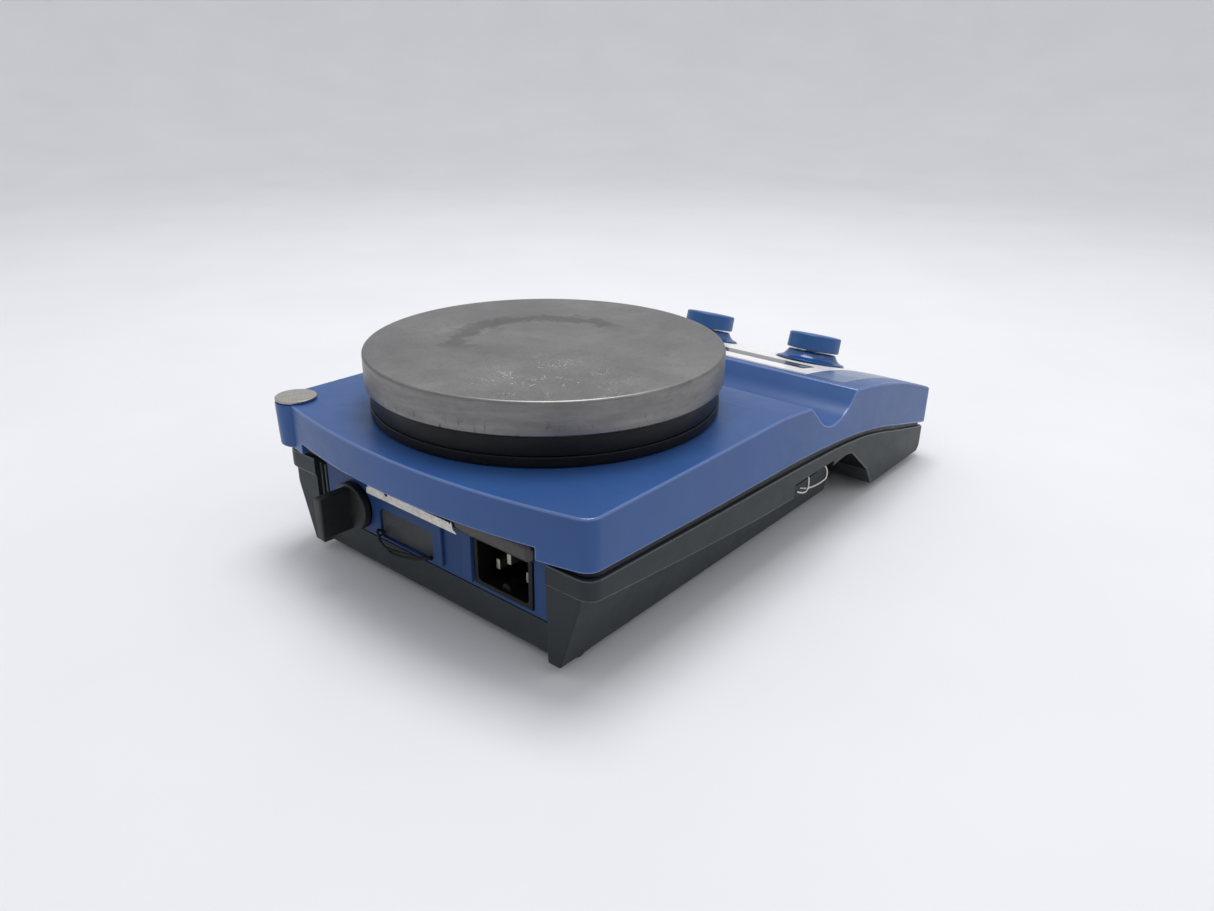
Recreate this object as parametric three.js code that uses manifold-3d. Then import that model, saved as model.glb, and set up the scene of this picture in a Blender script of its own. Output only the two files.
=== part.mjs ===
// A hot-plate magnetic stirrer, as an assembly of its separate pieces.
// Millimetres, +Z up. The console faces -Y and the sockets face +Y.
// The origin is the bottom centre of the whole object's box.
import * as THREE from "three";
import { mergeVertices } from "three/addons/utils/BufferGeometryUtils.js";
import Module from "manifold-3d";

const wasm = await Module();
wasm.setup();

// ---------------------------------------------------------------- driving dimensions

const BODY_WIDTH = 160;
const BODY_LENGTH = 270;
const HEIGHT = 85;
const PLUG_REACH = 4; // the contact plug's grip passes the rear edge by this much
const CLEAR = 0.3; // gap between pieces that touch on the real object
const WALL = 2.5; // both castings

const HALF = BODY_WIDTH / 2;
const FRONT = -(BODY_LENGTH + PLUG_REACH) / 2;
const REAR = FRONT + BODY_LENGTH;
const REAR_BOW = 0.0017; // the rear edge is the parabola y = REAR - REAR_BOW x^2
const REAR_CORNER = 12;
const FRONT_CORNER = 6;

const DECK_Z = 61.5;
const DECK_EDGE = new THREE.Vector2(-8.8, 59.6); // y and z of the deck's front edge
const DECK_BEND_Y = 12; // the deck is level behind this line
const TROUGH = { y: -30.6, z: 66.9, radius: 20, from: -41.3, to: -138 }; // angles in degrees
const CONSOLE_BACK = new THREE.Vector2(-49.3, 57);
const CONSOLE_FRONT = new THREE.Vector2(FRONT + 0.6, 35.4);
const CONSOLE_BULGE = 3;

// The parting line of the two castings, as y and z from the rear to the front.
const SEAM_POINTS = [
  [140, 45], [60, 39.9], [-3, 36.6], [-50, 32.9], [-78, 29.2], [-102, 24.2], [-142, 15.5],
];
const SEAM_GAP = 1.2;
const TONGUE = 4; // the lower casting's tongue stands this far up inside the upper one

const PLATE = { y: REAR - 76.8, radius: 67.5, thick: 12.1 };
const RING_RADIUS = 65.6;
const DECK_HOLE_RADIUS = 52;

const BOSS = { x: 72, y: 119.6, radius: 8, bottom: 44, top: 61.4 };

const PANEL_Y = 120.2; // outer face of the rear panel
const RECESS = { half: 61, top: 47.8, bottom: 18, depthY: 117 };
const LEG_REAR_Y = 122;
const BASE_Z = 3.6; // underside of the lower casting, above the rubber feet's soles
// The tray below the band tapers: its half width at the base and at its shoulder.
const TRAY = { baseHalf: 66.5, shoulderHalf: 74.5, shoulderZ: 28, floor: 3.6, wall: 3.2 };

const INLET = { x: -40.8, z: 30, width: 27, height: 20, depth: 22 };
const SOCKET = { x: 38, z: 27.8, radius: 9 };
const WINDOW = { x0: -5, x1: 24, z0: 19.5, z1: 30.5 };
const RAIL = { x0: -58.5, x1: 21.5, depth: 5.5, z0: 40, z1: 47.4 };

const KNOB = { x: 30.8, y: -100, radius: 12.6, height: 7.8, lift: 5.6 };
const SWITCH = { x: 52, z: 26.2, halfWidth: 9.5, halfHeight: 6, pivotY: FRONT + 4.8, tilt: 6 };
const SLOT = { y0: -31, y1: -1.5, z0: 22.6, z1: 29.8, depth: 6.5 };
const OVERLAY = { back: -54, front: -132, half: 70.5, thick: 0.5 };
const DISPLAY = { half: 45, back: -66, front: -77 };

// ---------------------------------------------------------------- materials

const paint = (color, roughness, metalness = 0) =>
  new THREE.MeshStandardMaterial({ color, roughness, metalness });
const BLUE_PAINT = paint("#3c639c", 0.45);
const BLUE_PLASTIC = paint("#3a74b8", 0.5);
const GREY_PAINT = paint("#3a4143", 0.5);
const BLACK_PLASTIC = paint("#1b1c1f", 0.6);
const BLACK_RUBBER = paint("#151515", 0.85);
const STEEL = paint("#9a9893", 0.35, 1);
const ALUMINIUM = paint("#b4b4b2", 0.45, 1);
const COPPER = paint("#b4713a", 0.4, 1);
const BRASS = paint("#b7a878", 0.35, 1);
const MAGNET = paint("#55565a", 0.4, 1);
const BOARD = paint("#1f5a35", 0.6);
const FOIL = paint("#c9cbca", 0.4);
const WINDOW_GREY = paint("#4d5257", 0.15);
const SWITCH_GREEN = paint("#2c8a4a", 0.4);

// ---------------------------------------------------------------- solids

// A closed geometry as a manifold-3d solid.
function solid(geometry) {
  const bare = geometry.clone();
  bare.deleteAttribute("normal");
  bare.deleteAttribute("uv");
  const merged = mergeVertices(bare, 1e-4);
  const triVerts = new Uint32Array(merged.index.array);
  return new wasm.Manifold(
    new wasm.Mesh({ numProp: 3, vertProperties: merged.attributes.position.array, triVerts }),
  );
}

// A manifold-3d solid as a flat-shaded geometry.
function geometryOf(shape) {
  const mesh = shape.getMesh();
  const indexed = new THREE.BufferGeometry()
    .setAttribute("position", new THREE.BufferAttribute(new Float32Array(mesh.vertProperties), 3))
    .setIndex(new THREE.BufferAttribute(new Uint32Array(mesh.triVerts), 1));
  const flat = indexed.toNonIndexed();
  flat.computeVertexNormals();
  return flat;
}

const joined = (first, ...rest) => rest.reduce((sum, next) => sum.add(next), first);
const without = (first, ...rest) => rest.reduce((left, next) => left.subtract(next), first);

function box(x0, x1, y0, y1, z0, z1) {
  const geometry = new THREE.BoxGeometry(x1 - x0, y1 - y0, z1 - z0);
  return solid(geometry.translate((x0 + x1) / 2, (y0 + y1) / 2, (z0 + z1) / 2));
}

// An upright cylinder; a second radius makes it a cone, wider or narrower at the top.
function post(x, y, z0, z1, radius, sides = 24, topRadius = radius) {
  const geometry = new THREE.CylinderGeometry(topRadius, radius, z1 - z0, sides);
  return solid(geometry.rotateX(Math.PI / 2).translate(x, y, (z0 + z1) / 2));
}

// A cylinder that lies along Y.
function rod(x, z, y0, y1, radius, sides = 32) {
  const geometry = new THREE.CylinderGeometry(radius, radius, y1 - y0, sides);
  return solid(geometry.translate(x, (y0 + y1) / 2, z));
}

// A profile of radius and height pairs, turned about an upright axis.
function turned(profile, x, y, sides = 32) {
  const points = profile.map(([radius, z]) => new THREE.Vector2(radius, z));
  const geometry = new THREE.LatheGeometry(points, sides);
  return solid(geometry.rotateX(Math.PI / 2).translate(x, y, 0));
}

// A ring of rectangular section.
function ring(x, y, z0, z1, inner, outer, sides = 48) {
  return turned([[inner, z0], [outer, z0], [outer, z1], [inner, z1], [inner, z0]], x, y, sides);
}

const shapeOf = (points) => new THREE.Shape(points.map((p) => new THREE.Vector2(...p)));
const PLAIN = { bevelEnabled: false, curveSegments: 6 };

// A plan outline, extruded upwards.
function upright(shape, z0, z1) {
  const geometry = new THREE.ExtrudeGeometry(shape, { ...PLAIN, depth: z1 - z0 });
  return solid(geometry.translate(0, 0, z0));
}

// A side profile of y and z, extruded across the body.
function across(points, x0, x1) {
  const geometry = new THREE.ExtrudeGeometry(shapeOf(points), { ...PLAIN, depth: x1 - x0 });
  const turn = new THREE.Matrix4().makeBasis(
    new THREE.Vector3(0, 1, 0),
    new THREE.Vector3(0, 0, 1),
    new THREE.Vector3(1, 0, 0),
  );
  return solid(geometry.applyMatrix4(turn).translate(x0, 0, 0));
}

// A front profile of x and z, extruded along Y.
function along(points, y0, y1) {
  const geometry = new THREE.ExtrudeGeometry(shapeOf(points), { ...PLAIN, depth: y1 - y0 });
  return solid(geometry.rotateX(Math.PI / 2).translate(0, y1, 0));
}

// A round wire along a smooth route.
function wire(route, radius, steps, sides = 8) {
  const path = new THREE.CatmullRomCurve3(route.map((p) => new THREE.Vector3(...p)));
  const section = new THREE.Shape().absarc(0, 0, radius, 0, 2 * Math.PI);
  return new THREE.ExtrudeGeometry(section, {
    steps,
    curveSegments: sides,
    bevelEnabled: false,
    extrudePath: path,
  });
}

// ---------------------------------------------------------------- shared outlines

// The upper casting seen from above, shrunk by an inset.
function bodyOutline(inset) {
  const half = HALF - inset;
  const front = FRONT + inset;
  const bowed = (x) => REAR - inset - REAR_BOW * x * x;
  const frontCorner = Math.max(FRONT_CORNER - inset, 1);
  const rearCorner = Math.max(REAR_CORNER - inset, 2);
  const bowHalf = half - rearCorner;
  const shape = new THREE.Shape();
  shape.moveTo(-half + frontCorner, front);
  shape.lineTo(half - frontCorner, front);
  shape.quadraticCurveTo(half, front, half, front + frontCorner);
  shape.lineTo(half, bowed(half) - rearCorner);
  shape.quadraticCurveTo(half, bowed(half), bowHalf, bowed(bowHalf));
  shape.quadraticCurveTo(0, REAR - inset + REAR_BOW * bowHalf * bowHalf, -bowHalf, bowed(bowHalf));
  shape.quadraticCurveTo(-half, bowed(half), -half, bowed(half) - rearCorner);
  shape.lineTo(-half, front + frontCorner);
  shape.quadraticCurveTo(-half, front, -half + frontCorner, front);
  return shape;
}

// A rectangle with rounded corners seen from above.
function trayOutline(half, front, rear, corner) {
  const shape = new THREE.Shape();
  shape.moveTo(-half + corner, front);
  shape.lineTo(half - corner, front);
  shape.quadraticCurveTo(half, front, half, front + corner);
  shape.lineTo(half, rear - corner);
  shape.quadraticCurveTo(half, rear, half - corner, rear);
  shape.lineTo(-half + corner, rear);
  shape.quadraticCurveTo(-half, rear, -half, rear - corner);
  shape.lineTo(-half, front + corner);
  shape.quadraticCurveTo(-half, front, -half + corner, front);
  return shape;
}

// Height of the console's surface at y, and its slope there as an angle.
const consoleShare = (y) => (CONSOLE_BACK.x - y) / (CONSOLE_BACK.x - CONSOLE_FRONT.x);
function consoleZ(y) {
  const t = consoleShare(y);
  const straight = CONSOLE_BACK.y + t * (CONSOLE_FRONT.y - CONSOLE_BACK.y);
  return straight + 4 * CONSOLE_BULGE * t * (1 - t);
}
function consoleTilt(y) {
  const perShare = CONSOLE_FRONT.y - CONSOLE_BACK.y + 4 * CONSOLE_BULGE * (1 - 2 * consoleShare(y));
  return Math.atan(-perShare / (CONSOLE_BACK.x - CONSOLE_FRONT.x));
}

// Evenly spaced values from one end to the other, both included.
const spread = (from, to, steps) =>
  Array.from({ length: steps + 1 }, (_, i) => from + ((to - from) * i) / steps);

// The console's surface moved by a height, as points from y0 to y1.
const consoleLine = (y0, y1, lift, steps = 6) =>
  spread(y0, y1, steps).map((y) => [y, consoleZ(y) + lift]);

// The upper casting's top line from the rear to the front, sunk by a depth.
function topLine(depth) {
  const trough = spread(TROUGH.from, TROUGH.to, 8).map((degrees) => {
    const angle = THREE.MathUtils.degToRad(degrees);
    const radius = TROUGH.radius + depth;
    return [TROUGH.y + radius * Math.cos(angle), TROUGH.z + radius * Math.sin(angle)];
  });
  return [
    [REAR + 10, DECK_Z - depth],
    [DECK_BEND_Y, DECK_Z - depth],
    [DECK_EDGE.x + 0.4 * depth, DECK_EDGE.y - depth],
    ...trough,
    [CONSOLE_BACK.x - 0.33 * depth, CONSOLE_BACK.y - 1.04 * depth],
    ...consoleLine(CONSOLE_BACK.x - 0.33 * depth, CONSOLE_FRONT.x, -1.04 * depth).slice(1),
  ];
}

const SEAM = new THREE.SplineCurve(SEAM_POINTS.map((p) => new THREE.Vector2(...p)));
const seamLine = (lift) => SEAM.getPoints(14).map((p) => [p.x, p.y + lift]);

// ---------------------------------------------------------------- assembly

const stirrer = new THREE.Group();

// Adds a solid or a geometry to the assembly as a named mesh.
function add(name, shape, material, parent = stirrer) {
  const geometry = shape instanceof THREE.BufferGeometry ? shape : geometryOf(shape);
  const mesh = new THREE.Mesh(geometry, material);
  mesh.name = name;
  parent.add(mesh);
  return mesh;
}

const SCREWS = [[-60, 92], [60, 92], [-60, -116], [60, -116]];
const SCREW = { headRadius: 3.4, shankRadius: 1.7, postRadius: 4.6, postBottom: 22, frontPostBottom: 14 };

addUpperHousing();
addLowerHousing();
addHeatingPlate();
addStirringDrive();
addRodBoss();
addConsole();
addPowerSwitch();
addRearPanel();
addMainsInlet();
addContactPlug();
addElectronics();
addFeetAndScrews();
addSideClip();

function addUpperHousing() {
  const noseLip = [FRONT - 5, CONSOLE_FRONT.y - 1.7];
  const outside = across([...topLine(0), noseLip, ...seamLine(0).reverse()], -HALF, HALF)
    .intersect(upright(bodyOutline(0), 0, HEIGHT));
  const insideCorners = [[FRONT - 5, CONSOLE_FRONT.y - 5], [FRONT - 5, 0], [REAR + 10, 0]];
  const inside = across([...topLine(WALL), ...insideCorners], -HALF, HALF)
    .intersect(upright(bodyOutline(WALL), 0, HEIGHT));
  const boss = post(BOSS.x, BOSS.y, BOSS.bottom, BOSS.top, BOSS.radius - 0.4, 24, BOSS.radius);
  const bossBore = post(BOSS.x, BOSS.y, BOSS.bottom + 2, HEIGHT, 6.8);
  let shell = joined(without(outside, inside), boss);
  for (const [x, y] of SCREWS) {
    const ceiling = y > 0 ? DECK_Z - 1 : consoleZ(y) - 1.5;
    const bottom = y > 0 ? SCREW.postBottom : SCREW.frontPostBottom;
    shell = shell.add(post(x, y, bottom, ceiling, SCREW.postRadius, 12));
    shell = shell.subtract(post(x, y, bottom - 1, bottom + 12, SCREW.shankRadius + CLEAR, 8));
  }
  const pocketBack = OVERLAY.back + CLEAR;
  const pocketFront = OVERLAY.front - CLEAR;
  const pocketHalf = OVERLAY.half + CLEAR;
  const overlayPocket = across([
    ...consoleLine(pocketBack, pocketFront, -OVERLAY.thick - CLEAR),
    ...consoleLine(pocketBack, pocketFront, 3).reverse(),
  ], -pocketHalf, pocketHalf);
  const switchHole = box(
    SWITCH.x - SWITCH.halfWidth - CLEAR, SWITCH.x + SWITCH.halfWidth + CLEAR, FRONT - 1, FRONT + 6,
    SWITCH.z - SWITCH.halfHeight - CLEAR, SWITCH.z + SWITCH.halfHeight + CLEAR);
  shell = without(
    shell,
    bossBore,
    overlayPocket,
    switchHole,
    post(0, PLATE.y, 40, 70, DECK_HOLE_RADIUS, 40),
    box(-RECESS.half, RECESS.half, RECESS.depthY, REAR + 1, 0, RECESS.top),
  );
  for (const side of [-1, 1]) shell = shell.subtract(knobFrame(post(0, 0, -8, 8, 4, 24), side));
  add("upper_housing", shell, BLUE_PAINT);
}

// Moves a solid made about a knob's own axis to its place on the console.
function knobFrame(shape, side) {
  const tilt = THREE.MathUtils.radToDeg(consoleTilt(KNOB.y));
  return shape.rotate([tilt, 0, 0]).translate([side * KNOB.x, KNOB.y, consoleZ(KNOB.y)]);
}

function addLowerHousing() {
  const bandLow = [[-25, 24.6], [-5.7, 23.3], [25, 24.5], [65, 27.6], [113.4, 32.1], [140, 34.4]];
  const band = across([
    ...seamLine(-SEAM_GAP),
    [FRONT + 2.2, 13.5], [FRONT + 2, 8.4], [FRONT + 7.6, BASE_Z], // front face
    [-77, BASE_Z], [-70.5, 12.9], [-52, 27], [-46, 28], [-37, 27.2], // arch behind the front foot
    ...bandLow,
  ], -HALF, HALF).intersect(upright(trayOutline(HALF - 0.4, FRONT + 1, LEG_REAR_Y, 8), 0, HEIGHT));
  const tray = across([
    [-38.5, 30], [-57, BASE_Z], [118, BASE_Z], [120.4, RECESS.bottom], [LEG_REAR_Y - 0.5, 22],
    [LEG_REAR_Y - 0.5, 36],
  ], -HALF, HALF).intersect(trayTaper(0, BASE_Z));
  const tongueOutline = HALF - WALL - CLEAR;
  const tongue = across([
    ...seamLine(TONGUE), [FRONT, 10], [-72, 15], [-53, 28.6], [-40, 29.4], [REAR, 38],
  ], -HALF, HALF).intersect(
    upright(
      trayOutline(tongueOutline, FRONT + WALL + CLEAR, LEG_REAR_Y - 2, REAR_CORNER - 1.5), 0, HEIGHT));
  let casting = joined(band, tray, tongue);

  // The hollow: a wide part inside the band and the front foot, and a tapered one inside the tray.
  const wide = across([
    [116, 37], [-36, 29.6], [-54, 30], [-76, 15], [-80, 7.5], [FRONT + 9, 7.2], [FRONT + 6, 9],
    [FRONT + 6, 70], [116, 70],
  ], -HALF, HALF).intersect(
    upright(trayOutline(HALF - 4.8, FRONT + WALL + CLEAR + 2.2, LEG_REAR_Y - 4.2, 4), 0, HEIGHT));
  const floorZ = BASE_Z + TRAY.floor;
  const deep = across([
    [-51, floorZ], [-36.5, 28], [-36.5, 45], [117.8, 45], [117.8, 20], [114.8, floorZ],
  ], -HALF, HALF).intersect(trayTaper(TRAY.wall, floorZ));
  casting = without(casting, wide, deep);

  // Room for the rod boss at the rear right corner and for the power switch at the front.
  casting = without(
    casting,
    post(BOSS.x, BOSS.y, BOSS.bottom - CLEAR, HEIGHT, BOSS.radius + CLEAR),
    box(SWITCH.x - SWITCH.halfWidth - 1, SWITCH.x + SWITCH.halfWidth + 1, FRONT, FRONT + 8,
      SWITCH.z - SWITCH.halfHeight - 0.5, HEIGHT),
  );

  // Rear recess, with the right leg's ribbed cheek left standing in it.
  const recess = box(
    -RECESS.half, RECESS.half, RECESS.depthY + 0.4, REAR, RECESS.bottom, 80);
  const ribs = joined(
    box(55.6, RECESS.half + 1, 112, 118.6, RECESS.bottom - 1, 39),
    box(55.6, 57, 112, 120.6, RECESS.bottom - 1, 39),
    box(58.4, 59.8, 112, 120.6, RECESS.bottom - 1, 39),
  );
  casting = casting.subtract(recess).add(ribs);

  // The slot for the wire clip, in the left side.
  casting = casting.subtract(box(-HALF - 1, -HALF + SLOT.depth, SLOT.y0, SLOT.y1, SLOT.z0, SLOT.z1));
  for (const [x, y] of SCREWS) {
    casting = without(
      casting,
      post(x, y, 0, 20, SCREW.shankRadius + CLEAR, 8),
      post(x, y, 0, BASE_Z + 2, SCREW.headRadius + CLEAR, 12),
    );
  }
  add("lower_housing", casting, GREY_PAINT);
}

// The tray's tapering cross-section from a floor height up, its side walls moved in by an inset.
function trayTaper(inset, floorZ) {
  const rise = (floorZ - BASE_Z) / (TRAY.shoulderZ - BASE_Z);
  const low = THREE.MathUtils.lerp(TRAY.baseHalf, TRAY.shoulderHalf, rise) - inset;
  const high = TRAY.shoulderHalf - inset;
  return along([
    [-low, floorZ], [low, floorZ], [high, TRAY.shoulderZ], [high, 45], [-high, 45], [-high, TRAY.shoulderZ],
  ], -60, LEG_REAR_Y - 0.5);
}

function addHeatingPlate() {
  const { y, radius, thick } = PLATE;
  const under = HEIGHT - thick;
  const seat = DECK_Z + CLEAR;
  add("heating_plate", turned([
    [0, under], [radius - 0.8, under], [radius, under + 0.8], [radius, HEIGHT - 1.4],
    [radius - 1.4, HEIGHT], [0, HEIGHT],
  ], 0, y, 72), STEEL);
  add("insulator_ring", ring(0, y, seat + 4.1, under - CLEAR, 60.5, RING_RADIUS, 60), BLACK_PLASTIC);
  add("deck_seal", ring(0, y, seat, seat + 3.8, 60.5, RING_RADIUS + 0.5, 60), BLACK_RUBBER);
  add("heat_shield", post(0, y, seat, seat + 1, 60, 48), ALUMINIUM);
  add("heater_element", ring(0, y, under - 3, under - CLEAR, 20, 51, 36), COPPER);
  const spacerCircle = 55.5;
  for (const i of [0, 1, 2]) {
    const angle = Math.PI / 2 + (i * 2 * Math.PI) / 3;
    const x = spacerCircle * Math.cos(angle);
    const spacer = post(x, y + spacerCircle * Math.sin(angle), seat + 1 + CLEAR, under - CLEAR, 2.5, 12);
    add(`plate_spacer_${i + 1}`, spacer, STEEL);
  }
  add("temperature_sensor", post(0, y + 10, seat + 1 + CLEAR, under - CLEAR, 2.4, 12), STEEL);
}

function addStirringDrive() {
  const { y } = PLATE;
  const shaftRadius = 3;
  const bore = shaftRadius + CLEAR;
  add("drive_motor", without(
    turned([[0, 16], [22, 16], [26, 18], [26, 40], [22, 42], [0, 42]], 0, y, 28),
    post(0, y, 10, 50, bore, 16),
  ), ALUMINIUM);
  const bracket = joined(
    box(-66, 66, y - 16, y + 16, 42.4, 44.4),
    box(-66, -63, y - 16, y + 16, 42.4, 58.6),
    box(63, 66, y - 16, y + 16, 42.4, 58.6),
  );
  add("motor_bracket", bracket.subtract(post(0, y, 40, 50, 9, 20)), STEEL);
  add("drive_shaft", post(0, y, 15, 53.6, shaftRadius, 16), STEEL);
  const carrier = joined(
    post(0, y, 46, 52, 9, 20),
    box(-33, 33, y - 11, y + 11, 49, 52),
  );
  add("magnet_carrier", carrier.subtract(post(0, y, 40, 60, bore, 16)), STEEL);
  for (const [name, side] of [["north_magnet", 1], ["south_magnet", -1]]) {
    add(name, post(side * 23, y, 52.3, 60.6, 9, 20), MAGNET);
  }
}

function addRodBoss() {
  const { x, y, bottom, top } = BOSS;
  const bore = 4.2;
  const bush = post(x, y, bottom + 2.3, top - 0.6, 6.5);
  add("rod_bush", bush.subtract(post(x, y, bottom + 4, top + 1, bore, 16)), BRASS);
  add("rod_hole_plug", turned([
    [0, bottom + 5], [bore - CLEAR, bottom + 5], [bore - CLEAR, top + CLEAR], [7.7, top + CLEAR],
    [7.8, top + 1.1], [7.4, top + 1.4], [0, top + 1.4],
  ], x, y, 24), ALUMINIUM);
}

function addConsole() {
  const tilt = consoleTilt(KNOB.y);
  const shaftRadius = 3;
  const bore = shaftRadius + CLEAR;
  const { back, front, half, thick } = OVERLAY;
  let foil = across(
    [...consoleLine(back, front, -thick), ...consoleLine(back, front, 0).reverse()], -half, half);
  for (const side of [-1, 1]) foil = foil.subtract(knobFrame(post(0, 0, -4, 4, 17), side));
  foil = foil.subtract(
    box(-DISPLAY.half - CLEAR, DISPLAY.half + CLEAR, DISPLAY.front - CLEAR, DISPLAY.back + CLEAR, 30, 70));
  add("console_overlay", foil, FOIL);
  add("display_window", across([
    ...consoleLine(DISPLAY.back, DISPLAY.front, -thick, 2),
    ...consoleLine(DISPLAY.back, DISPLAY.front, 0, 2).reverse(),
  ], -DISPLAY.half, DISPLAY.half), WINDOW_GREY);
  for (const [name, side] of [["heat", -1], ["speed", 1]]) {
    const frame = new THREE.Group();
    frame.position.set(side * KNOB.x, KNOB.y, consoleZ(KNOB.y));
    frame.rotation.x = tilt;
    stirrer.add(frame);
    add(`${name}_collar`, turned([
      [4, 0.1], [16.4, 0.1], [16.4, 0.7], [12.8, 2.4], [11.4, 4.8], [4, 4.8], [4, 0.1],
    ], 0, 0), BLUE_PLASTIC, frame);
    const top = KNOB.lift + KNOB.height;
    add(`${name}_knob`, turned([
      [0, 11], [bore, 11], [bore, KNOB.lift], [KNOB.radius - 0.5, KNOB.lift],
      [KNOB.radius, KNOB.lift + 0.5], [KNOB.radius, top - 0.8], [KNOB.radius - 0.8, top], [0, top],
    ], 0, 0), BLUE_PLASTIC, frame);
    add(`${name}_knob_shaft`, post(0, 0, -8.2, 10.7, shaftRadius, 16), STEEL, frame);
    add(`${name}_potentiometer`, ring(0, 0, -9.2, -3.4, bore, 8.5, 24), BLACK_PLASTIC, frame);
  }
}

function addPowerSwitch() {
  const { x, z, halfWidth, halfHeight, pivotY, tilt } = SWITCH;
  const face = FRONT + 0.8;
  const body = without(
    box(x - halfWidth, x + halfWidth, face, FRONT + 13, z - halfHeight, z + halfHeight),
    box(x - halfWidth + 1.4, x + halfWidth - 1.4, FRONT - 1, FRONT + 11, z - 5.3, z + 5.3),
  );
  add("switch_frame", body, BLACK_PLASTIC);
  const rocker = new THREE.Group();
  rocker.position.set(0, pivotY, z);
  rocker.rotation.x = THREE.MathUtils.degToRad(-tilt);
  stirrer.add(rocker);
  add("power_rocker", across([
    [-4.2, 4.4], [-3.3, 0], [-4.2, -4.4], [0, -4.2], [3.6, -2.4], [3.6, 2.4], [0, 4.2],
  ], x - halfWidth + 1.8, x + halfWidth - 1.8), SWITCH_GREEN, rocker);
}

function addRearPanel() {
  const inside = PANEL_Y - 2;
  const panel = without(
    box(-RECESS.half + CLEAR, 55.2, inside, PANEL_Y, RECESS.bottom + CLEAR, DECK_Z - WALL - CLEAR),
    box(INLET.x - INLET.width / 2 - CLEAR, INLET.x + INLET.width / 2 + CLEAR, 100, 130,
      INLET.z - INLET.height / 2 - CLEAR, INLET.z + INLET.height / 2 + CLEAR),
    rod(SOCKET.x, SOCKET.z, 100, 130, SOCKET.radius + CLEAR, 24),
    box(WINDOW.x0 - CLEAR, WINDOW.x1 + CLEAR, 100, 130, WINDOW.z0 - CLEAR, WINDOW.z1 + CLEAR),
  );
  const rib = box(-11.4, -9.6, PANEL_Y - 0.1, PANEL_Y + 1.2, RECESS.bottom + 2, 39);
  const column = box(-26.8, -22.4, PANEL_Y - 0.1, PANEL_Y + 1.6, RECESS.bottom + 2, 39);
  add("rear_panel", joined(panel, rib, column), BLUE_PAINT);
  const cover = box(WINDOW.x0, WINDOW.x1, inside, PANEL_Y - 0.8, WINDOW.z0, WINDOW.z1);
  add("interface_cover", cover, GREY_PAINT);
  const loopZ = WINDOW.z0 + 1.2;
  add("cover_loop", wire([
    [WINDOW.x0 + 1, PANEL_Y - 0.3, loopZ], [WINDOW.x0 + 1, PANEL_Y + 2, loopZ - 0.4],
    [2, PANEL_Y + 3, loopZ - 2.4], [9, PANEL_Y + 3.4, loopZ - 3.4], [16, PANEL_Y + 3, loopZ - 2],
    [WINDOW.x1 - 1, PANEL_Y + 2, loopZ - 0.4], [WINDOW.x1 - 1, PANEL_Y - 0.3, loopZ],
  ], 0.6, 16, 3), BLACK_RUBBER);
  const railY = PANEL_Y + CLEAR;
  add("label_rail", box(RAIL.x0, RAIL.x1, railY, railY + RAIL.depth, RAIL.z0, RAIL.z1), BLACK_PLASTIC);
  const plateY = railY + RAIL.depth + CLEAR;
  add("rating_plate", box(-26, RAIL.x1, plateY, plateY + 0.4, RAIL.z0, RAIL.z1), FOIL);
}

function addMainsInlet() {
  const { x, z, width, height, depth } = INLET;
  const face = PANEL_Y + 0.6;
  const shroud = 1.8;
  const cavity = box(
    x - width / 2 + shroud, x + width / 2 - shroud, face - 16, face + 1,
    z - height / 2 + shroud, z + height / 2 - shroud);
  const key = box(x - 2, x + 2, face - 14, face - 1.5, z - height / 2 + 1, z - height / 2 + 3.4);
  let body = box(x - width / 2, x + width / 2, face - depth, face, z - height / 2, z + height / 2);
  body = body.subtract(cavity).add(key);
  const pins = [["live_pin", -7, -2.5], ["neutral_pin", 7, -2.5], ["earth_pin", 0, 2.5]];
  for (const [name, dx, dz] of pins) {
    const back = face - 16 - 2.4;
    const [halfX, halfZ] = [1 + CLEAR, 2 + CLEAR];
    body = body.subtract(
      box(x + dx - halfX, x + dx + halfX, back - CLEAR, face - 15, z + dz - halfZ, z + dz + halfZ));
    const tip = name === "earth_pin" ? 3 : 4.6;
    add(name, box(x + dx - 1, x + dx + 1, back, face - tip, z + dz - 2, z + dz + 2), BRASS);
  }
  add("mains_inlet", body, BLACK_PLASTIC);
}

function addContactPlug() {
  const { x, z, radius } = SOCKET;
  const socket = rod(x, z, 106, PANEL_Y - 0.5, radius, 28);
  add("sensor_socket", socket.subtract(rod(x, z, 108, 130, 7.3, 24)), BLACK_PLASTIC);
  const flange = PANEL_Y + 0.6;
  const grip = box(x - 2, x + 2, flange + 1, REAR + PLUG_REACH, z - 8.3, z + 8.3);
  add("contact_plug", joined(
    rod(x, z, 109, flange + 1, 7, 24),
    rod(x, z, flange, flange + 3, radius + 0.4, 28),
    grip,
  ), BLACK_PLASTIC);
}

function addElectronics() {
  const board = new THREE.BoxGeometry(106, 54, 1.6);
  const control = add("control_board", board, BOARD);
  const middleY = -89;
  control.rotation.x = consoleTilt(middleY);
  control.position.set(0, middleY, consoleZ(middleY) - 14);
  add("power_board", box(30, 62, -26, 84, 10, 11.6), BOARD);
  add("heat_sink", joined(
    box(37, 61, 10, 60, 12, 14),
    ...[38, 43, 48, 53, 58].map((x) => box(x, x + 2, 10, 60, 13, 30)),
  ), ALUMINIUM);
  add("mains_transformer", box(-62, -28, -10, 26, 10, 38), STEEL);
}

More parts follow.
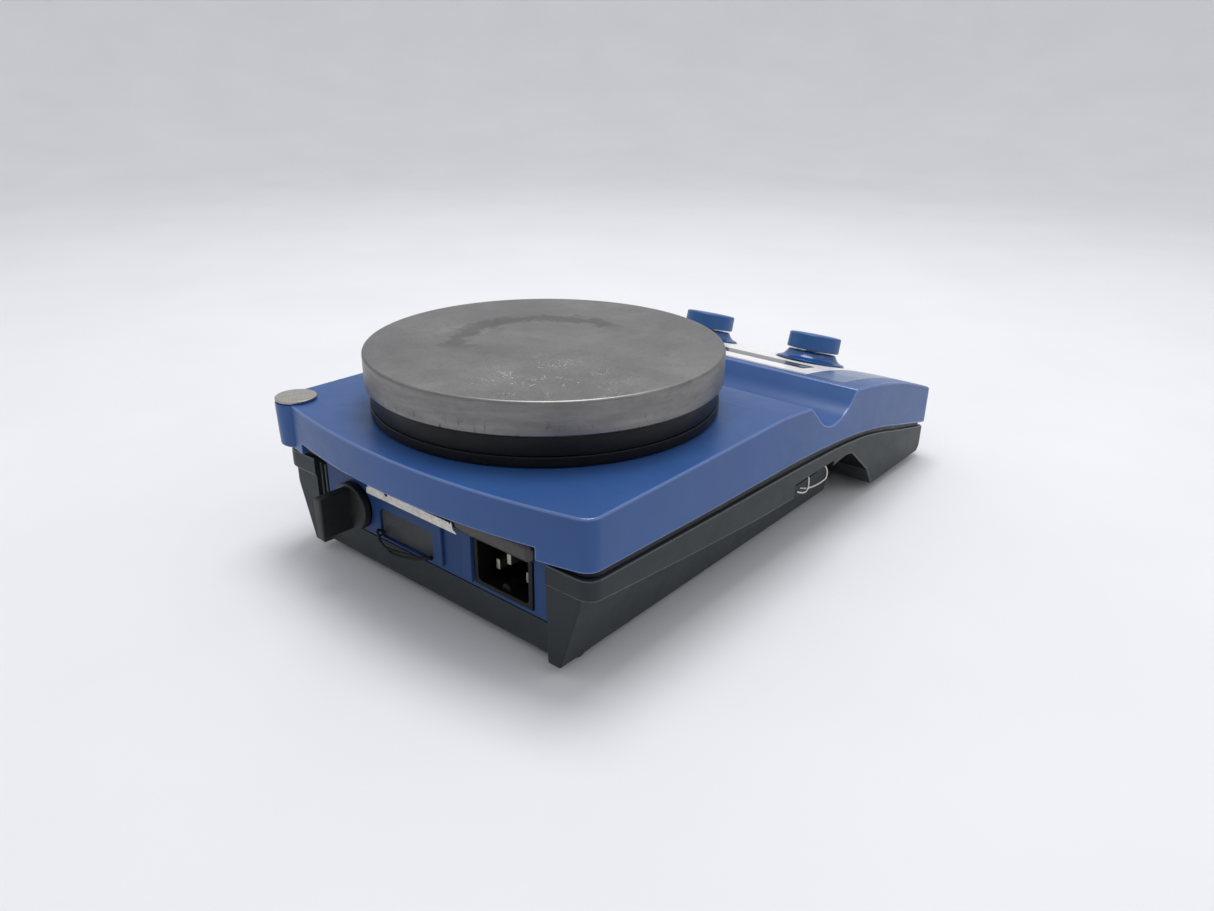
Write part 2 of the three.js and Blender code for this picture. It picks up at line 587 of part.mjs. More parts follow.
function addFeetAndScrews() {
  const footHeight = BASE_Z - CLEAR;
  const feet = {
    rear_left_foot: [-61, 108],
    rear_right_foot: [61, 108],
    front_left_foot: [-64, -98],
    front_right_foot: [64, -98],
  };
  for (const [name, [x, y]] of Object.entries(feet)) {
    add(name, post(x, y, 0, footHeight, 5.5, 16, 6.2), BLACK_RUBBER);
  }
  SCREWS.forEach(([x, y], i) => {
    const seat = BASE_Z + 2 - CLEAR;
    const bottom = y > 0 ? SCREW.postBottom : SCREW.frontPostBottom;
    add(`housing_screw_${i + 1}`, joined(
      post(x, y, seat - 1.8, seat, SCREW.headRadius, 12),
      post(x, y, seat - 1, bottom + 10, SCREW.shankRadius, 8),
    ), STEEL);
  });
}

// One bent wire in the left slot: up, back down behind itself, along and up again.
function addSideClip() {
  const x = -HALF + 0.7;
  const low = SLOT.z0 + 0.9;
  const high = SLOT.z1 - 1;
  add("side_wire_clip", wire([
    [x + 1, SLOT.y1 - 2, low + 2.8], [x, SLOT.y1 - 6, low + 0.5], [x, SLOT.y1 - 10, low],
    [x + 0.2, SLOT.y1 - 12, high - 2], [x + 1.6, SLOT.y1 - 12.4, high], [x + 3, SLOT.y1 - 12.8, high - 2],
    [x + 1.4, SLOT.y1 - 14, low], [x, SLOT.y1 - 18, low], [x, SLOT.y1 - 25.4, low],
    [x, SLOT.y1 - 27.6, low + 2], [x, SLOT.y1 - 27.9, high],
  ], 0.6, 24, 3), STEEL);
}

export default stirrer;
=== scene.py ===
"""A hot-plate magnetic stirrer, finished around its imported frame. Metres, +Z up.

Outlines below are written in millimetres and scaled by MM when they are drawn.
"""
import math
from functools import partial

import bpy
from mathutils import Matrix, Vector


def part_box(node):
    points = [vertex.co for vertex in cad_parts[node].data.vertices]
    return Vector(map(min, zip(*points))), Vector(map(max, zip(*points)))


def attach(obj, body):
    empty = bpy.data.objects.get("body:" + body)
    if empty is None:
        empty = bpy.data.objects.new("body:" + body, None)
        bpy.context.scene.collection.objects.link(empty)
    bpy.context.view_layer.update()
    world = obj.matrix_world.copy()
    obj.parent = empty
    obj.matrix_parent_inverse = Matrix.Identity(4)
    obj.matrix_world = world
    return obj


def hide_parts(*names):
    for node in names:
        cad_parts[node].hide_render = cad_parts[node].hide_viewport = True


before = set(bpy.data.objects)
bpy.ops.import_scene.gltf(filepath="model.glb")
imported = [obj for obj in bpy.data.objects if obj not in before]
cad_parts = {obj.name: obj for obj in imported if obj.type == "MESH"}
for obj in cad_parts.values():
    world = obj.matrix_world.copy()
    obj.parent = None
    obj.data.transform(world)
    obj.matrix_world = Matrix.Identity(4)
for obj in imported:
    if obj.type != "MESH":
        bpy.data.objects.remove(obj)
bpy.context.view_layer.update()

bl_info = {
    "name": "Hot-plate stirrer",
    "version": (1, 0, 0),
    "blender": (4, 5, 0),
    "location": "View3D > Sidebar > Stirrer",
    "description": "Models a hot-plate magnetic stirrer piece by piece around its frame",
    "category": "Object",
}

MM = 0.001


def extent(node):
    """Lowest and highest corner of a CAD node, in millimetres."""
    low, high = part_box(node)
    return low / MM, high / MM


# ---------------------------------------------------------------- driving dimensions, millimetres

UPPER_LOW, UPPER_HIGH = extent("upper_housing")
PLATE_LOW, PLATE_HIGH = extent("heating_plate")
HALF = -UPPER_LOW.x
FRONT = UPPER_LOW.y
REAR = UPPER_HIGH.y
REAR_BOW = 0.0017
REAR_CORNER = 5
FRONT_CORNER = 6
CLEAR = 0.3

DECK_Z = extent("deck_seal")[0].z - CLEAR
DECK_BEND_Y = 12
DECK_EDGE = (-8.8, 59.6)
TROUGH = {"y": -30.6, "z": 66.9, "radius": 20, "start": -41.3, "end": -138}
CONSOLE_BACK = (-49.3, 57)
CONSOLE_FRONT = (-136.4, 35.4)
CONSOLE_BULGE = 3
NOSE_LEAN = 2.4

# Where each casting ends on the sides, as (y, z); a dark gasket shows in the gap between them.
UPPER_SEAM = [(140, 43.8), (100, 42.5), (60, 41.1), (20, 40.2), (-10, 39.2), (-37, 37.2), (-52, 35.6), (-67, 33.4),
              (-84, 30), (-102, 25.6), (-142, 16)]
LOWER_SEAM = [(140, 41), (80, 38.8), (44, 37.6), (12, 36.7), (-11, 35.8), (-37, 34.5), (-52, 33.1), (-67, 31.2),
              (-84, 27.7), (-102, 23.4), (-142, 14.4)]
NOSE_SLOPE = 0.24
TONGUE = 5.5

PLATE_Y = (PLATE_LOW.y + PLATE_HIGH.y) / 2
PLATE_RADIUS = PLATE_HIGH.x
RECESS = {"half": 61, "top": 47.8, "bottom": 18, "depth_y": 117}
LEG_REAR_Y = 122
BASE_Z = extent("lower_housing")[0].z
TRAY = {"base_half": 66.5, "shoulder_half": 74.5, "shoulder_z": 28, "floor": 3.6, "wall": 3.2}
PANEL_Y = 120.2
KNOB = {"x": 30.8, "y": -100, "radius": 12.6, "height": 7.8, "lift": 5.6}
ROD_BOSS = (72, 119.6)
SOCKET = (38, 27.8)
FRONT_GRIP = {"back": -37, "front": -76, "low": 12.5, "high": 28.6}
SLOT = {"back": -34.5, "front": -1.5, "bottom": 21.5, "top": 29.4, "depth": 11.5}
OVERLAY = {"back": -54, "front": -132, "half": 70.5, "thick": 0.5}
DISPLAY = {"half": 45, "back": -66, "front": -77}


def linear(hex_colour):
    """An sRGB hex colour as linear red, green and blue."""
    channels = [int(hex_colour[i : i + 2], 16) / 255 for i in (1, 3, 5)]
    return tuple(c / 12.92 if c <= 0.04045 else ((c + 0.055) / 1.055) ** 2.4 for c in channels)


# ---------------------------------------------------------------- what a user may change


class StirrerSizes(bpy.types.PropertyGroup):
    """Sizes of the finished surfaces."""

    wall: bpy.props.FloatProperty(
        name="Casting wall", description="Wall thickness of both castings", default=2.5 * MM, unit="LENGTH")
    edge_round: bpy.props.FloatProperty(
        name="Edge round", description="Radius on the upper casting's outer edges", default=0.7 * MM, unit="LENGTH")
    plate_round: bpy.props.FloatProperty(
        name="Plate edge", description="Radius on the plate's top edge", default=1.1 * MM, unit="LENGTH")
    round_steps: bpy.props.IntProperty(
        name="Round steps", description="Segments across each rounded edge", default=3, min=1, max=6)
    turn_steps: bpy.props.IntProperty(
        name="Turn steps", description="Segments around the large turned pieces", default=144, min=24)


def colour(name, description, hex_colour):
    """A colour property with its default."""
    return bpy.props.FloatVectorProperty(
        name=name, description=description, default=linear(hex_colour), subtype="COLOR", min=0, max=1)


class StirrerColours(bpy.types.PropertyGroup):
    """Base colours of the finishes."""

    blue_paint: colour("Blue paint", "Powder coat on the upper casting", "#31548C")
    grey_paint: colour("Grey paint", "Powder coat on the lower casting", "#2A3033")
    plate_steel: colour("Plate steel", "Ground stainless steel of the hot plate", "#8F8D8C")
    black_plastic: colour("Black plastic", "Glass-filled nylon of sockets and plugs", "#141517")
    blue_plastic: colour("Blue plastic", "Moulded ABS of the knobs", "#21538C")
    foil_white: colour("Foil white", "Pale field printed on the console foil", "#F1EDEB")
    foil_blue: colour("Foil blue", "Blue-grey field printed on the console foil", "#5A7096")


# ---------------------------------------------------------------- outlines


def spaced(start, end, steps):
    """Evenly spaced values from start to end, both included."""
    return [start + (end - start) * i / steps for i in range(steps + 1)]


def arc(centre, radius, start, end, steps):
    """Points on an arc between two angles in degrees."""
    angles = [math.radians(a) for a in spaced(start, end, steps)]
    return [(centre[0] + radius * math.cos(a), centre[1] + radius * math.sin(a)) for a in angles]


def corner_curve(start, corner, end, steps):
    """A smooth corner from start to end that pulls towards the corner."""
    points = []
    for t in spaced(0, 1, steps):
        weights = ((1 - t) ** 2, 2 * t * (1 - t), t**2)
        points.append(tuple(sum(w * p[i] for w, p in zip(weights, (start, corner, end))) for i in (0, 1)))
    return points


def rounded_rectangle(low, high, radius):
    """Corner points of a rectangle with round corners, anticlockwise."""
    (x0, y0), (x1, y1) = low, high
    steps = 5
    return [
        *arc((x1 - radius, y0 + radius), radius, -90, 0, steps),
        *arc((x1 - radius, y1 - radius), radius, 0, 90, steps),
        *arc((x0 + radius, y1 - radius), radius, 90, 180, steps),
        *arc((x0 + radius, y0 + radius), radius, 180, 270, steps),
    ]


def through(points, steps):
    """A smooth line through the points, with a number of steps between each two."""
    line = []
    for i in range(len(points) - 1):
        p0, p1 = points[max(i - 1, 0)], points[i]
        p2, p3 = points[i + 1], points[min(i + 2, len(points) - 1)]
        for t in spaced(0, 1, steps)[:-1]:
            line.append(tuple(
                b + 0.5 * t * (c - a + t * (2 * a - 5 * b + 4 * c - d + t * (3 * (b - c) + d - a)))
                for a, b, c, d in zip(p0, p1, p2, p3)
            ))
    return [*line, tuple(points[-1])]


def seam_line(points, lift=0.0):
    """A casting's edge at the seam, from rear to front, raised by a height and ended inside the nose."""
    return [(y, z + lift) for y, z in through(points, 3) if y > FRONT + NOSE_LEAN + 2]


def console_z(y):
    """Height of the console's surface."""
    share = (CONSOLE_BACK[0] - y) / (CONSOLE_BACK[0] - CONSOLE_FRONT[0])
    straight = CONSOLE_BACK[1] + share * (CONSOLE_FRONT[1] - CONSOLE_BACK[1])
    return straight + 4 * CONSOLE_BULGE * share * (1 - share)


def console_tilt(y):
    """Slope of the console's surface, as a turn about X."""
    run = CONSOLE_BACK[0] - CONSOLE_FRONT[0]
    per_share = CONSOLE_FRONT[1] - CONSOLE_BACK[1] + 4 * CONSOLE_BULGE * (1 - 2 * (CONSOLE_BACK[0] - y) / run)
    return math.atan(-per_share / run)


def console_line(back, front, lift, steps=12):
    """The console's surface from back to front, raised by a height."""
    return [(y, console_z(y) + lift) for y in spaced(back, front, steps)]


def top_line(depth):
    """Top of the upper casting from rear to front, sunk by a depth."""
    trough = arc((TROUGH["y"], TROUGH["z"]), TROUGH["radius"] + depth, TROUGH["start"], TROUGH["end"], 22)
    console_start = CONSOLE_BACK[0] - 0.33 * depth
    return [
        (REAR + 10, DECK_Z - depth),
        (DECK_BEND_Y, DECK_Z - depth),
        (DECK_EDGE[0] + 0.4 * depth, DECK_EDGE[1] - depth),
        *trough,
        (console_start, CONSOLE_BACK[1] - 1.04 * depth),
        *console_line(console_start, CONSOLE_FRONT[0], -1.04 * depth)[1:],
    ]


def body_outline(inset):
    """The upper casting from above, shrunk by an inset."""
    half, front = HALF - inset, FRONT + inset
    front_corner = max(FRONT_CORNER - inset, 1)
    rear_corner = max(REAR_CORNER - inset, 2)

    def rear(x):
        return REAR - inset - REAR_BOW * x * x

    bow = [(x, rear(x)) for x in spaced(half - rear_corner, rear_corner - half, 16)]
    right = [
        *corner_curve((half - front_corner, front), (half, front), (half, front + front_corner), 6),
        *corner_curve((half, rear(half) - rear_corner), (half, rear(half)), bow[0], 8)[:-1],
    ]
    return [*right, *bow, *[(-x, y) for x, y in reversed(right)]]


def tray_outline(half, front, rear, corner):
    """The lower casting from above."""
    right = [
        *corner_curve((half - corner, front), (half, front), (half, front + corner), 6),
        *corner_curve((half, rear - corner), (half, rear), (half - corner, rear), 6),
    ]
    return [*right, *[(-x, y) for x, y in reversed(right)]]


# ---------------------------------------------------------------- modelling by hand, in code


def deselect():
    """Leave edit mode with nothing selected."""
    if bpy.context.object and bpy.context.object.mode != "OBJECT":
        bpy.ops.object.mode_set(mode="OBJECT")
    bpy.ops.object.select_all(action="DESELECT")


def hold(piece):
    """Make a piece the only selected and active one."""
    deselect()
    piece.select_set(True)
    bpy.context.view_layer.objects.active = piece


def draw(name, points):
    """Draw a chain of corners, from points in millimetres, by extruding one corner after another."""
    deselect()
    start = Vector(points[0]) * MM
    bpy.ops.mesh.primitive_plane_add(size=MM, location=(0, 0, 0))
    piece = bpy.context.object
    piece.name = piece.data.name = name
    bpy.ops.object.mode_set(mode="EDIT")
    bpy.ops.mesh.select_all(action="SELECT")
    bpy.ops.mesh.merge(type="CENTER")
    bpy.ops.transform.translate(value=start)
    for a, b in zip(points, points[1:]):
        step = (Vector(b) - Vector(a)) * MM
        bpy.ops.mesh.extrude_vertices_move(TRANSFORM_OT_translate={"value": step})
    return piece


def prism(name, points, reach):
    """A closed outline filled and extruded along a vector, both in millimetres."""
    piece = draw(name, points)
    bpy.ops.mesh.select_all(action="SELECT")
    bpy.ops.mesh.edge_face_add()
    bpy.ops.mesh.extrude_region_move(TRANSFORM_OT_translate={"value": Vector(reach) * MM})
    tidy_faces()
    return piece


def tidy_faces():
    """Merge doubles and turn every face outwards, then leave edit mode."""
    bpy.ops.mesh.select_all(action="SELECT")
    bpy.ops.mesh.remove_doubles(threshold=0.004 * MM)
    bpy.ops.mesh.normals_make_consistent(inside=False)
    bpy.ops.object.mode_set(mode="OBJECT")


def across(name, profile, x0, x1):
    """A side profile of y and z, extruded across the body."""
    return prism(name, [(x0, y, z) for y, z in profile], (x1 - x0, 0, 0))


def upright(name, outline, z0, z1):
    """A plan outline of x and y, extruded upwards."""
    return prism(name, [(x, y, z0) for x, y in outline], (0, 0, z1 - z0))


def along(name, profile, y0, y1):
    """A front profile of x and z, extruded along Y."""
    return prism(name, [(x, y0, z) for x, z in profile], (0, y1 - y0, 0))


def block(name, low, high):
    """A rectangular block between two corners, for cutting or rounding."""
    middle = (Vector(low) + Vector(high)) / 2 * MM
    deselect()
    bpy.ops.mesh.primitive_cube_add(size=1, location=middle, scale=(Vector(high) - Vector(low)) * MM)
    piece = bpy.context.object
    piece.name = piece.data.name = name
    bpy.ops.object.transform_apply()
    return piece


def turned(name, profile, centre, steps=96, upright_axis=True):
    """A chain of radius and height spun about an upright axis, or about one that points along +Y."""
    x, y, z = centre
    if upright_axis:
        points = [(x + r, y, z + h) for r, h in profile]
    else:
        points = [(x + r, y + h, z) for r, h in profile]
    piece = draw(name, points)
    bpy.ops.mesh.select_all(action="SELECT")
    axis = (0, 0, 1) if upright_axis else (0, 1, 0)
    bpy.ops.mesh.spin(steps=steps, angle=2 * math.pi, center=Vector(centre) * MM, axis=axis)
    tidy_faces()
    return piece


def modified(piece, kind, **settings):
    """Add a modifier with its settings and apply it."""
    hold(piece)
    bpy.ops.object.modifier_add(type=kind)
    modifier = piece.modifiers[-1]
    for key, value in settings.items():
        setattr(modifier, key, value)
    bpy.ops.object.modifier_apply(modifier=modifier.name)
    return piece


def rounded(piece, width, steps=3, angle=28, clamp=True, material=-1):
    """Round every edge sharper than an angle; the new faces can take another of the piece's materials."""
    return modified(
        piece, "BEVEL", width=width, segments=steps, limit_method="ANGLE", angle_limit=math.radians(angle),
        use_clamp_overlap=clamp, material=material)


def welded(piece, distance):
    """Merge corners closer than a distance in millimetres, so that no edge is too short to round."""
    hold(piece)
    bpy.ops.object.mode_set(mode="EDIT")
    bpy.ops.mesh.select_all(action="SELECT")
    bpy.ops.mesh.remove_doubles(threshold=distance * MM)
    bpy.ops.object.mode_set(mode="OBJECT")
    return piece


def boolean(piece, operation, *others):
    """Cut, join or intersect a piece with others, which are used up."""
    for other in others:
        modified(piece, "BOOLEAN", operation=operation, solver="EXACT", object=other)
        bpy.data.objects.remove(other, do_unlink=True)
    return piece


def cut(piece, *others):
    return boolean(piece, "DIFFERENCE", *others)


def join(piece, *others):
    return boolean(piece, "UNION", *others)


def meet(piece, *others):
    return boolean(piece, "INTERSECT", *others)


def copied(piece, name):
    """A copy with its own mesh."""
    hold(piece)
    bpy.ops.object.duplicate()
    twin = bpy.context.object
    twin.name = twin.data.name = name
    return twin


def placed(piece, matrix):
    """Move a finished mesh by a matrix, leaving its object at the origin."""
    piece.matrix_world = matrix
    hold(piece)
    bpy.ops.object.transform_apply()
    return piece


def wire(name, route, radius):
    """A round wire along a smooth route, in millimetres."""
    deselect()
    bpy.ops.curve.primitive_nurbs_path_add()
    curve = bpy.context.object
    curve.name = name
    curve.data.splines.clear()
    points = through(route, 6)
    spline = curve.data.splines.new("POLY")
    spline.points.add(len(points) - 1)
    for point, place in zip(spline.points, points):
        point.co = (*[v * MM for v in place], 1)
    curve.data.dimensions = "3D"
    curve.data.bevel_depth = radius * MM
    curve.data.bevel_resolution = 2
    curve.data.use_fill_caps = True
    bpy.ops.object.convert(target="MESH")
    piece = bpy.context.object
    piece.data.name = name
    hold(piece)
    bpy.ops.object.mode_set(mode="EDIT")
    tidy_faces()
    return piece


def knob_place(side):
    """Matrix that sets a piece made about Z onto a knob's place on the console."""
    place = Vector((side * KNOB["x"], KNOB["y"], console_z(KNOB["y"]))) * MM
    return Matrix.Translation(place) @ Matrix.Rotation(console_tilt(KNOB["y"]), 4, "X")


def coated(piece, *finishes):
    """Give a piece several finishes in advance, and return the place of the last one."""
    for finish in finishes:
        piece.data.materials.append(finish_named(finish))
    return len(finishes) - 1


def finished(piece, body, finish, slot, *nodes, angle=32):
    """Smooth a piece, give it its finish unless it has one, and let it ride in place of its CAD nodes."""
    hold(piece)
    bpy.ops.object.mode_set(mode="EDIT")
    tidy_faces()
    bpy.ops.object.shade_smooth_by_angle(angle=math.radians(angle))
    modified(piece, "WEIGHTED_NORMAL", keep_sharp=True, weight=80)
    if not piece.data.materials:
        piece.data.materials.append(finish_named(finish))
    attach(piece, body)
    if nodes:
        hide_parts(*nodes)
    return piece


# ---------------------------------------------------------------- materials

# A Mix node that blends colours, and its sockets by place.
COLOUR_MIX = {"data_type": "RGBA", "output": 2}
FACTOR, COLOUR_A, COLOUR_B = 0, 6, 7
# Nearly all values of a noise lie between these.
NOISE_SPAN = {"From Min": 0.3, "From Max": 0.7}


def add_node(tree, kind, inputs, output=0, **settings):
    """Add a shader node with its settings and links, and give one of its outputs.

    Inputs are values or other nodes' outputs, by socket name or place.
    """
    node = tree.nodes.new("ShaderNode" + kind)
    for key, value in settings.items():
        setattr(node, key, value)
    for key, value in inputs.items():
        if isinstance(value, bpy.types.NodeSocket):
            tree.links.new(value, node.inputs[key])
        else:
            node.inputs[key].default_value = value
    return node.outputs[output] if len(node.outputs) else node


def new_material(name):
    """An empty material, with add_node bound to its tree."""
    material = bpy.data.materials.new(name)
    material.use_nodes = True
    material.node_tree.nodes.clear()
    return material, partial(add_node, material.node_tree)


def per(millimetres):
    """Texture scale, in object coordinates, for features of that size."""
    return 1 / (millimetres * MM)


def tinted(rgb, factor=1.0):
    """A colour made lighter or darker by a factor, as the four numbers a socket takes."""
    return (*[min(1, c * factor) for c in rgb], 1)


def powder_coat(name, rgb, roughness, peel, gloss):
    """Powder coat baked on die-cast aluminium: satin, over a fine orange peel, with a little dust."""
    material, add = new_material(name)
    place = add("TexCoord", {}, "Object")
    patches = add("TexNoise", {"Vector": place, "Scale": per(38), "Detail": 3})
    tone = add("MapRange", {"Value": patches, **NOISE_SPAN})
    base = add("Mix", {FACTOR: tone, COLOUR_A: tinted(rgb, 0.93), COLOUR_B: tinted(rgb, 1.07)}, **COLOUR_MIX)
    # Dust grains are a tenth of a millimetre; they are drawn at 0.9 mm so that a few show.
    grains = add("TexNoise", {"Vector": place, "Scale": per(0.9), "Roughness": 0.7})
    drifts = add("TexNoise", {"Vector": place, "Scale": per(26), "Detail": 3, "Roughness": 0.6})
    specks = add("MapRange", {"Value": grains, "From Min": 0.72, "From Max": 0.77, "To Max": 0.3})
    fields = add("MapRange", {"Value": drifts, "From Min": 0.56, "From Max": 0.7})
    dust = add("Math", {0: specks, 1: fields}, operation="MULTIPLY")
    base = add("Mix", {FACTOR: dust, COLOUR_A: base, COLOUR_B: tinted(linear("#B9C2CC"))}, **COLOUR_MIX)
    smears = add("TexNoise", {"Vector": place, "Scale": per(14), "Detail": 4, "Roughness": 0.6, "Distortion": 1.2})
    rough = add("MapRange", {"Value": smears, "From Min": 0.3, "From Max": 0.75,
                             "To Min": roughness - 0.04, "To Max": roughness + 0.07})
    # Orange peel has waves of about a millimetre.
    waves = add("TexNoise", {"Vector": place, "Scale": per(1.1)})
    bump = add("Bump", {"Height": waves, "Strength": peel, "Distance": 0.05 * MM})
    add("OutputMaterial", {"Surface": add("BsdfPrincipled", {
        "Base Color": base, "Roughness": rough, "IOR": 1.5, "Specular IOR Level": gloss, "Normal": bump})})
    return material


def blue_powder_coat():
    """The upper casting's blue coat, lightly glossy."""
    blue = bpy.context.scene.stirrer_colours.blue_paint
    return powder_coat("powder_coated_aluminium_blue", blue, 0.32, 0.08, 0.3)


def blue_powder_coat_painted_highlight():
    """The same coat along the casting's rounded edges: lighter, as a painted highlight, and glossier."""
    blue = bpy.context.scene.stirrer_colours.blue_paint
    lightened = [c * 1.25 + 0.035 for c in blue]
    return powder_coat("powder_coated_aluminium_blue_painted_highlight", lightened, 0.16, 0.04, 0.9)


def grey_powder_coat():
    """The lower casting's dark grey coat, flatter than the blue."""
    grey = bpy.context.scene.stirrer_colours.grey_paint
    return powder_coat("powder_coated_aluminium_grey", grey, 0.42, 0.12, 0.22)


def moulded_plastic(name, rgb, roughness, grain=0.25, strength=0.12, gloss=0.5):
    """Injection-moulded plastic: one even colour, a spark-eroded grain, and patches that handling has polished."""
    material, add = new_material(name)
    place = add("TexCoord", {}, "Object")
    handled = add("TexNoise", {"Vector": place, "Scale": per(9), "Detail": 3, "Roughness": 0.6})
    tone = add("MapRange", {"Value": handled, **NOISE_SPAN})
    base = add("Mix", {FACTOR: tone, COLOUR_A: tinted(rgb, 0.9), COLOUR_B: tinted(rgb, 1.1)}, **COLOUR_MIX)
    grains = add("TexNoise", {"Vector": place, "Scale": per(0.6), "Roughness": 0.7})
    dust = add("MapRange", {"Value": grains, "From Min": 0.72, "From Max": 0.79, "To Max": 0.2})
    base = add("Mix", {FACTOR: dust, COLOUR_A: base, COLOUR_B: tinted(linear("#A8A8A6"))}, **COLOUR_MIX)
    rough = add("MapRange", {"Value": handled, "From Min": 0.3, "From Max": 0.75,
                             "To Min": roughness + 0.06, "To Max": roughness - 0.05})
    relief = add("TexNoise", {"Vector": place, "Scale": per(grain)})
    bump = add("Bump", {"Height": relief, "Strength": strength, "Distance": 0.04 * MM})
    add("OutputMaterial", {"Surface": add("BsdfPrincipled", {
        "Base Color": base, "Roughness": rough, "IOR": 1.52, "Specular IOR Level": gloss, "Normal": bump})})
    return material


def ground_steel():
    """Stainless steel, ground on top and turned on its rim: fine lines round the plate, a heat stain, dried salt."""
    steel = bpy.context.scene.stirrer_colours.plate_steel
    material, add = new_material("ground_stainless_steel")
    place = add("TexCoord", {}, "Object")
    centred = add("Mapping", {"Vector": place, "Location": (0, -PLATE_Y * MM, 0)})
    x, y, z = add("SeparateXYZ", {"Vector": centred}).node.outputs
    radius = add("VectorMath", {0: add("CombineXYZ", {"X": x, "Y": y})}, "Value", operation="LENGTH")
    turn = add("Math", {0: y, 1: x}, operation="ARCTAN2")
    top = add("MapRange", {"Value": z, "From Min": 84.6 * MM, "From Max": 84.95 * MM})

    # Turning and grinding lines are a few hundredths of a millimetre apart; drawn at 0.45 mm so that they show.
    stretched = add("Math", {0: turn, 1: 0.009}, operation="MULTIPLY")
    round_plate = add("CombineXYZ", {"X": stretched, "Y": radius, "Z": z})
    lines = add("TexNoise", {"Vector": round_plate, "Scale": per(0.45), "Detail": 3, "Roughness": 0.7})
    # Painted reflection: broad streaks, about 9 mm long, darken the rim in bands, as the turned rim's uneven reflection
    # would.
    reflection_streaks = add("TexNoise", {"Vector": round_plate, "Scale": per(2.4), "Detail": 4, "Roughness": 0.6})
    clouds = add("TexNoise", {"Vector": place, "Scale": per(30), "Detail": 5, "Roughness": 0.62, "Distortion": 0.4})
    blotches = add("TexNoise", {"Vector": place, "Scale": per(7), "Detail": 6, "Roughness": 0.72, "Distortion": 0.5})
    grit = add("TexNoise", {"Vector": place, "Scale": per(0.8), "Detail": 3, "Roughness": 0.7})

    tone = add("MapRange", {"Value": clouds, **NOISE_SPAN})
    base = add("Mix", {FACTOR: tone, COLOUR_A: tinted(steel, 0.72), COLOUR_B: tinted(steel, 1.05)}, **COLOUR_MIX)
    stains = add("MapRange", {"Value": blotches, "From Min": 0.48, "From Max": 0.7, "To Max": 0.45})
    base = add("Mix", {FACTOR: stains, COLOUR_A: base, COLOUR_B: tinted(linear("#746D67"))}, **COLOUR_MIX)
    bright = add("MapRange", {"Value": lines, "From Min": 0.35, "From Max": 0.7, "To Max": 0.25})
    base = add("Mix", {FACTOR: bright, COLOUR_A: base, COLOUR_B: tinted(steel, 1.4)}, **COLOUR_MIX)
    pits = add("MapRange", {"Value": grit, "From Min": 0.52, "From Max": 0.7, "To Max": 0.35})
    pitted = add("Math", {0: pits, 1: top}, operation="MULTIPLY")
    base = add("Mix", {FACTOR: pitted, COLOUR_A: base, COLOUR_B: tinted(steel, 0.5)}, **COLOUR_MIX)
    # The rim darkens in the streaks' bands: painted reflection.
    painted_reflection = add("MapRange", {"Value": reflection_streaks, "From Min": 0.4, "From Max": 0.66, "To Min": 0.42, "To Max": 0.08})
    on_rim = add("Math", {0: painted_reflection, 1: add("Math", {0: 1.0, 1: top}, operation="SUBTRACT")}, operation="MULTIPLY")
    base = add("Mix", {FACTOR: on_rim, COLOUR_A: base, COLOUR_B: tinted(steel, 0.42)}, **COLOUR_MIX)

    # The heat stain: a ragged crescent 33 mm from the centre, open towards the rear left.
    stain_radius, stain_turn, shake = 33 * MM, math.radians(22), 4.5 * MM
    ragged = add("MapRange", {"Value": blotches, **NOISE_SPAN, "To Min": -shake, "To Max": shake})
    offset = add("Math", {0: radius, 1: ragged}, operation="ADD")
    from_ring = add("Math", {0: offset, 1: stain_radius}, operation="SUBTRACT")
    from_ring = add("Math", {0: from_ring}, operation="ABSOLUTE")
    band = add("MapRange", {"Value": from_ring, "From Min": 6.5 * MM, "From Max": 2.5 * MM})
    facing = add("Math", {0: add("Math", {0: turn, 1: stain_turn}, operation="ADD")}, operation="COSINE")
    side = add("MapRange", {"Value": facing, "From Min": -0.05, "From Max": 0.3})
    stain = add("Math", {0: add("Math", {0: band, 1: side}, operation="MULTIPLY"), 1: top}, operation="MULTIPLY")
    stain_colour = add("Math", {0: stain, 1: 0.5}, operation="MULTIPLY")
    base = add("Mix", {FACTOR: stain_colour, COLOUR_A: base, COLOUR_B: tinted(linear("#4A4845"))}, **COLOUR_MIX)

    # Dried salt: pale specks of half a millimetre, drawn at 1.1 mm, drifted across the rear left of the top.
    heap_centre, heap_radius, heap_core = Vector((-34, 34, 85)) * MM, 34 * MM, 12 * MM
    spill = add("VectorMath", {0: centred, 1: heap_centre}, "Value", operation="DISTANCE")
    heap = add("MapRange", {"Value": spill, "From Min": heap_radius, "From Max": heap_core})
    drift = add("TexNoise", {"Vector": place, "Scale": per(8), "Detail": 3, "Roughness": 0.6})
    patchy = add("MapRange", {"Value": drift, "From Min": 0.48, "From Max": 0.62, "To Max": 0.75})
    grains = add("TexVoronoi", {"Vector": place, "Scale": per(1.1)}, "Distance")
    dots = add("MapRange", {"Value": grains, "From Min": 0.36, "From Max": 0.2})
    salt = add("Math", {0: add("Math", {0: dots, 1: patchy}, operation="MULTIPLY"), 1: heap}, operation="MULTIPLY")
    salt = add("Math", {0: salt, 1: top}, operation="MULTIPLY")
    base = add("Mix", {FACTOR: salt, COLOUR_A: base, COLOUR_B: tinted(linear("#DEDAD4"))}, **COLOUR_MIX)

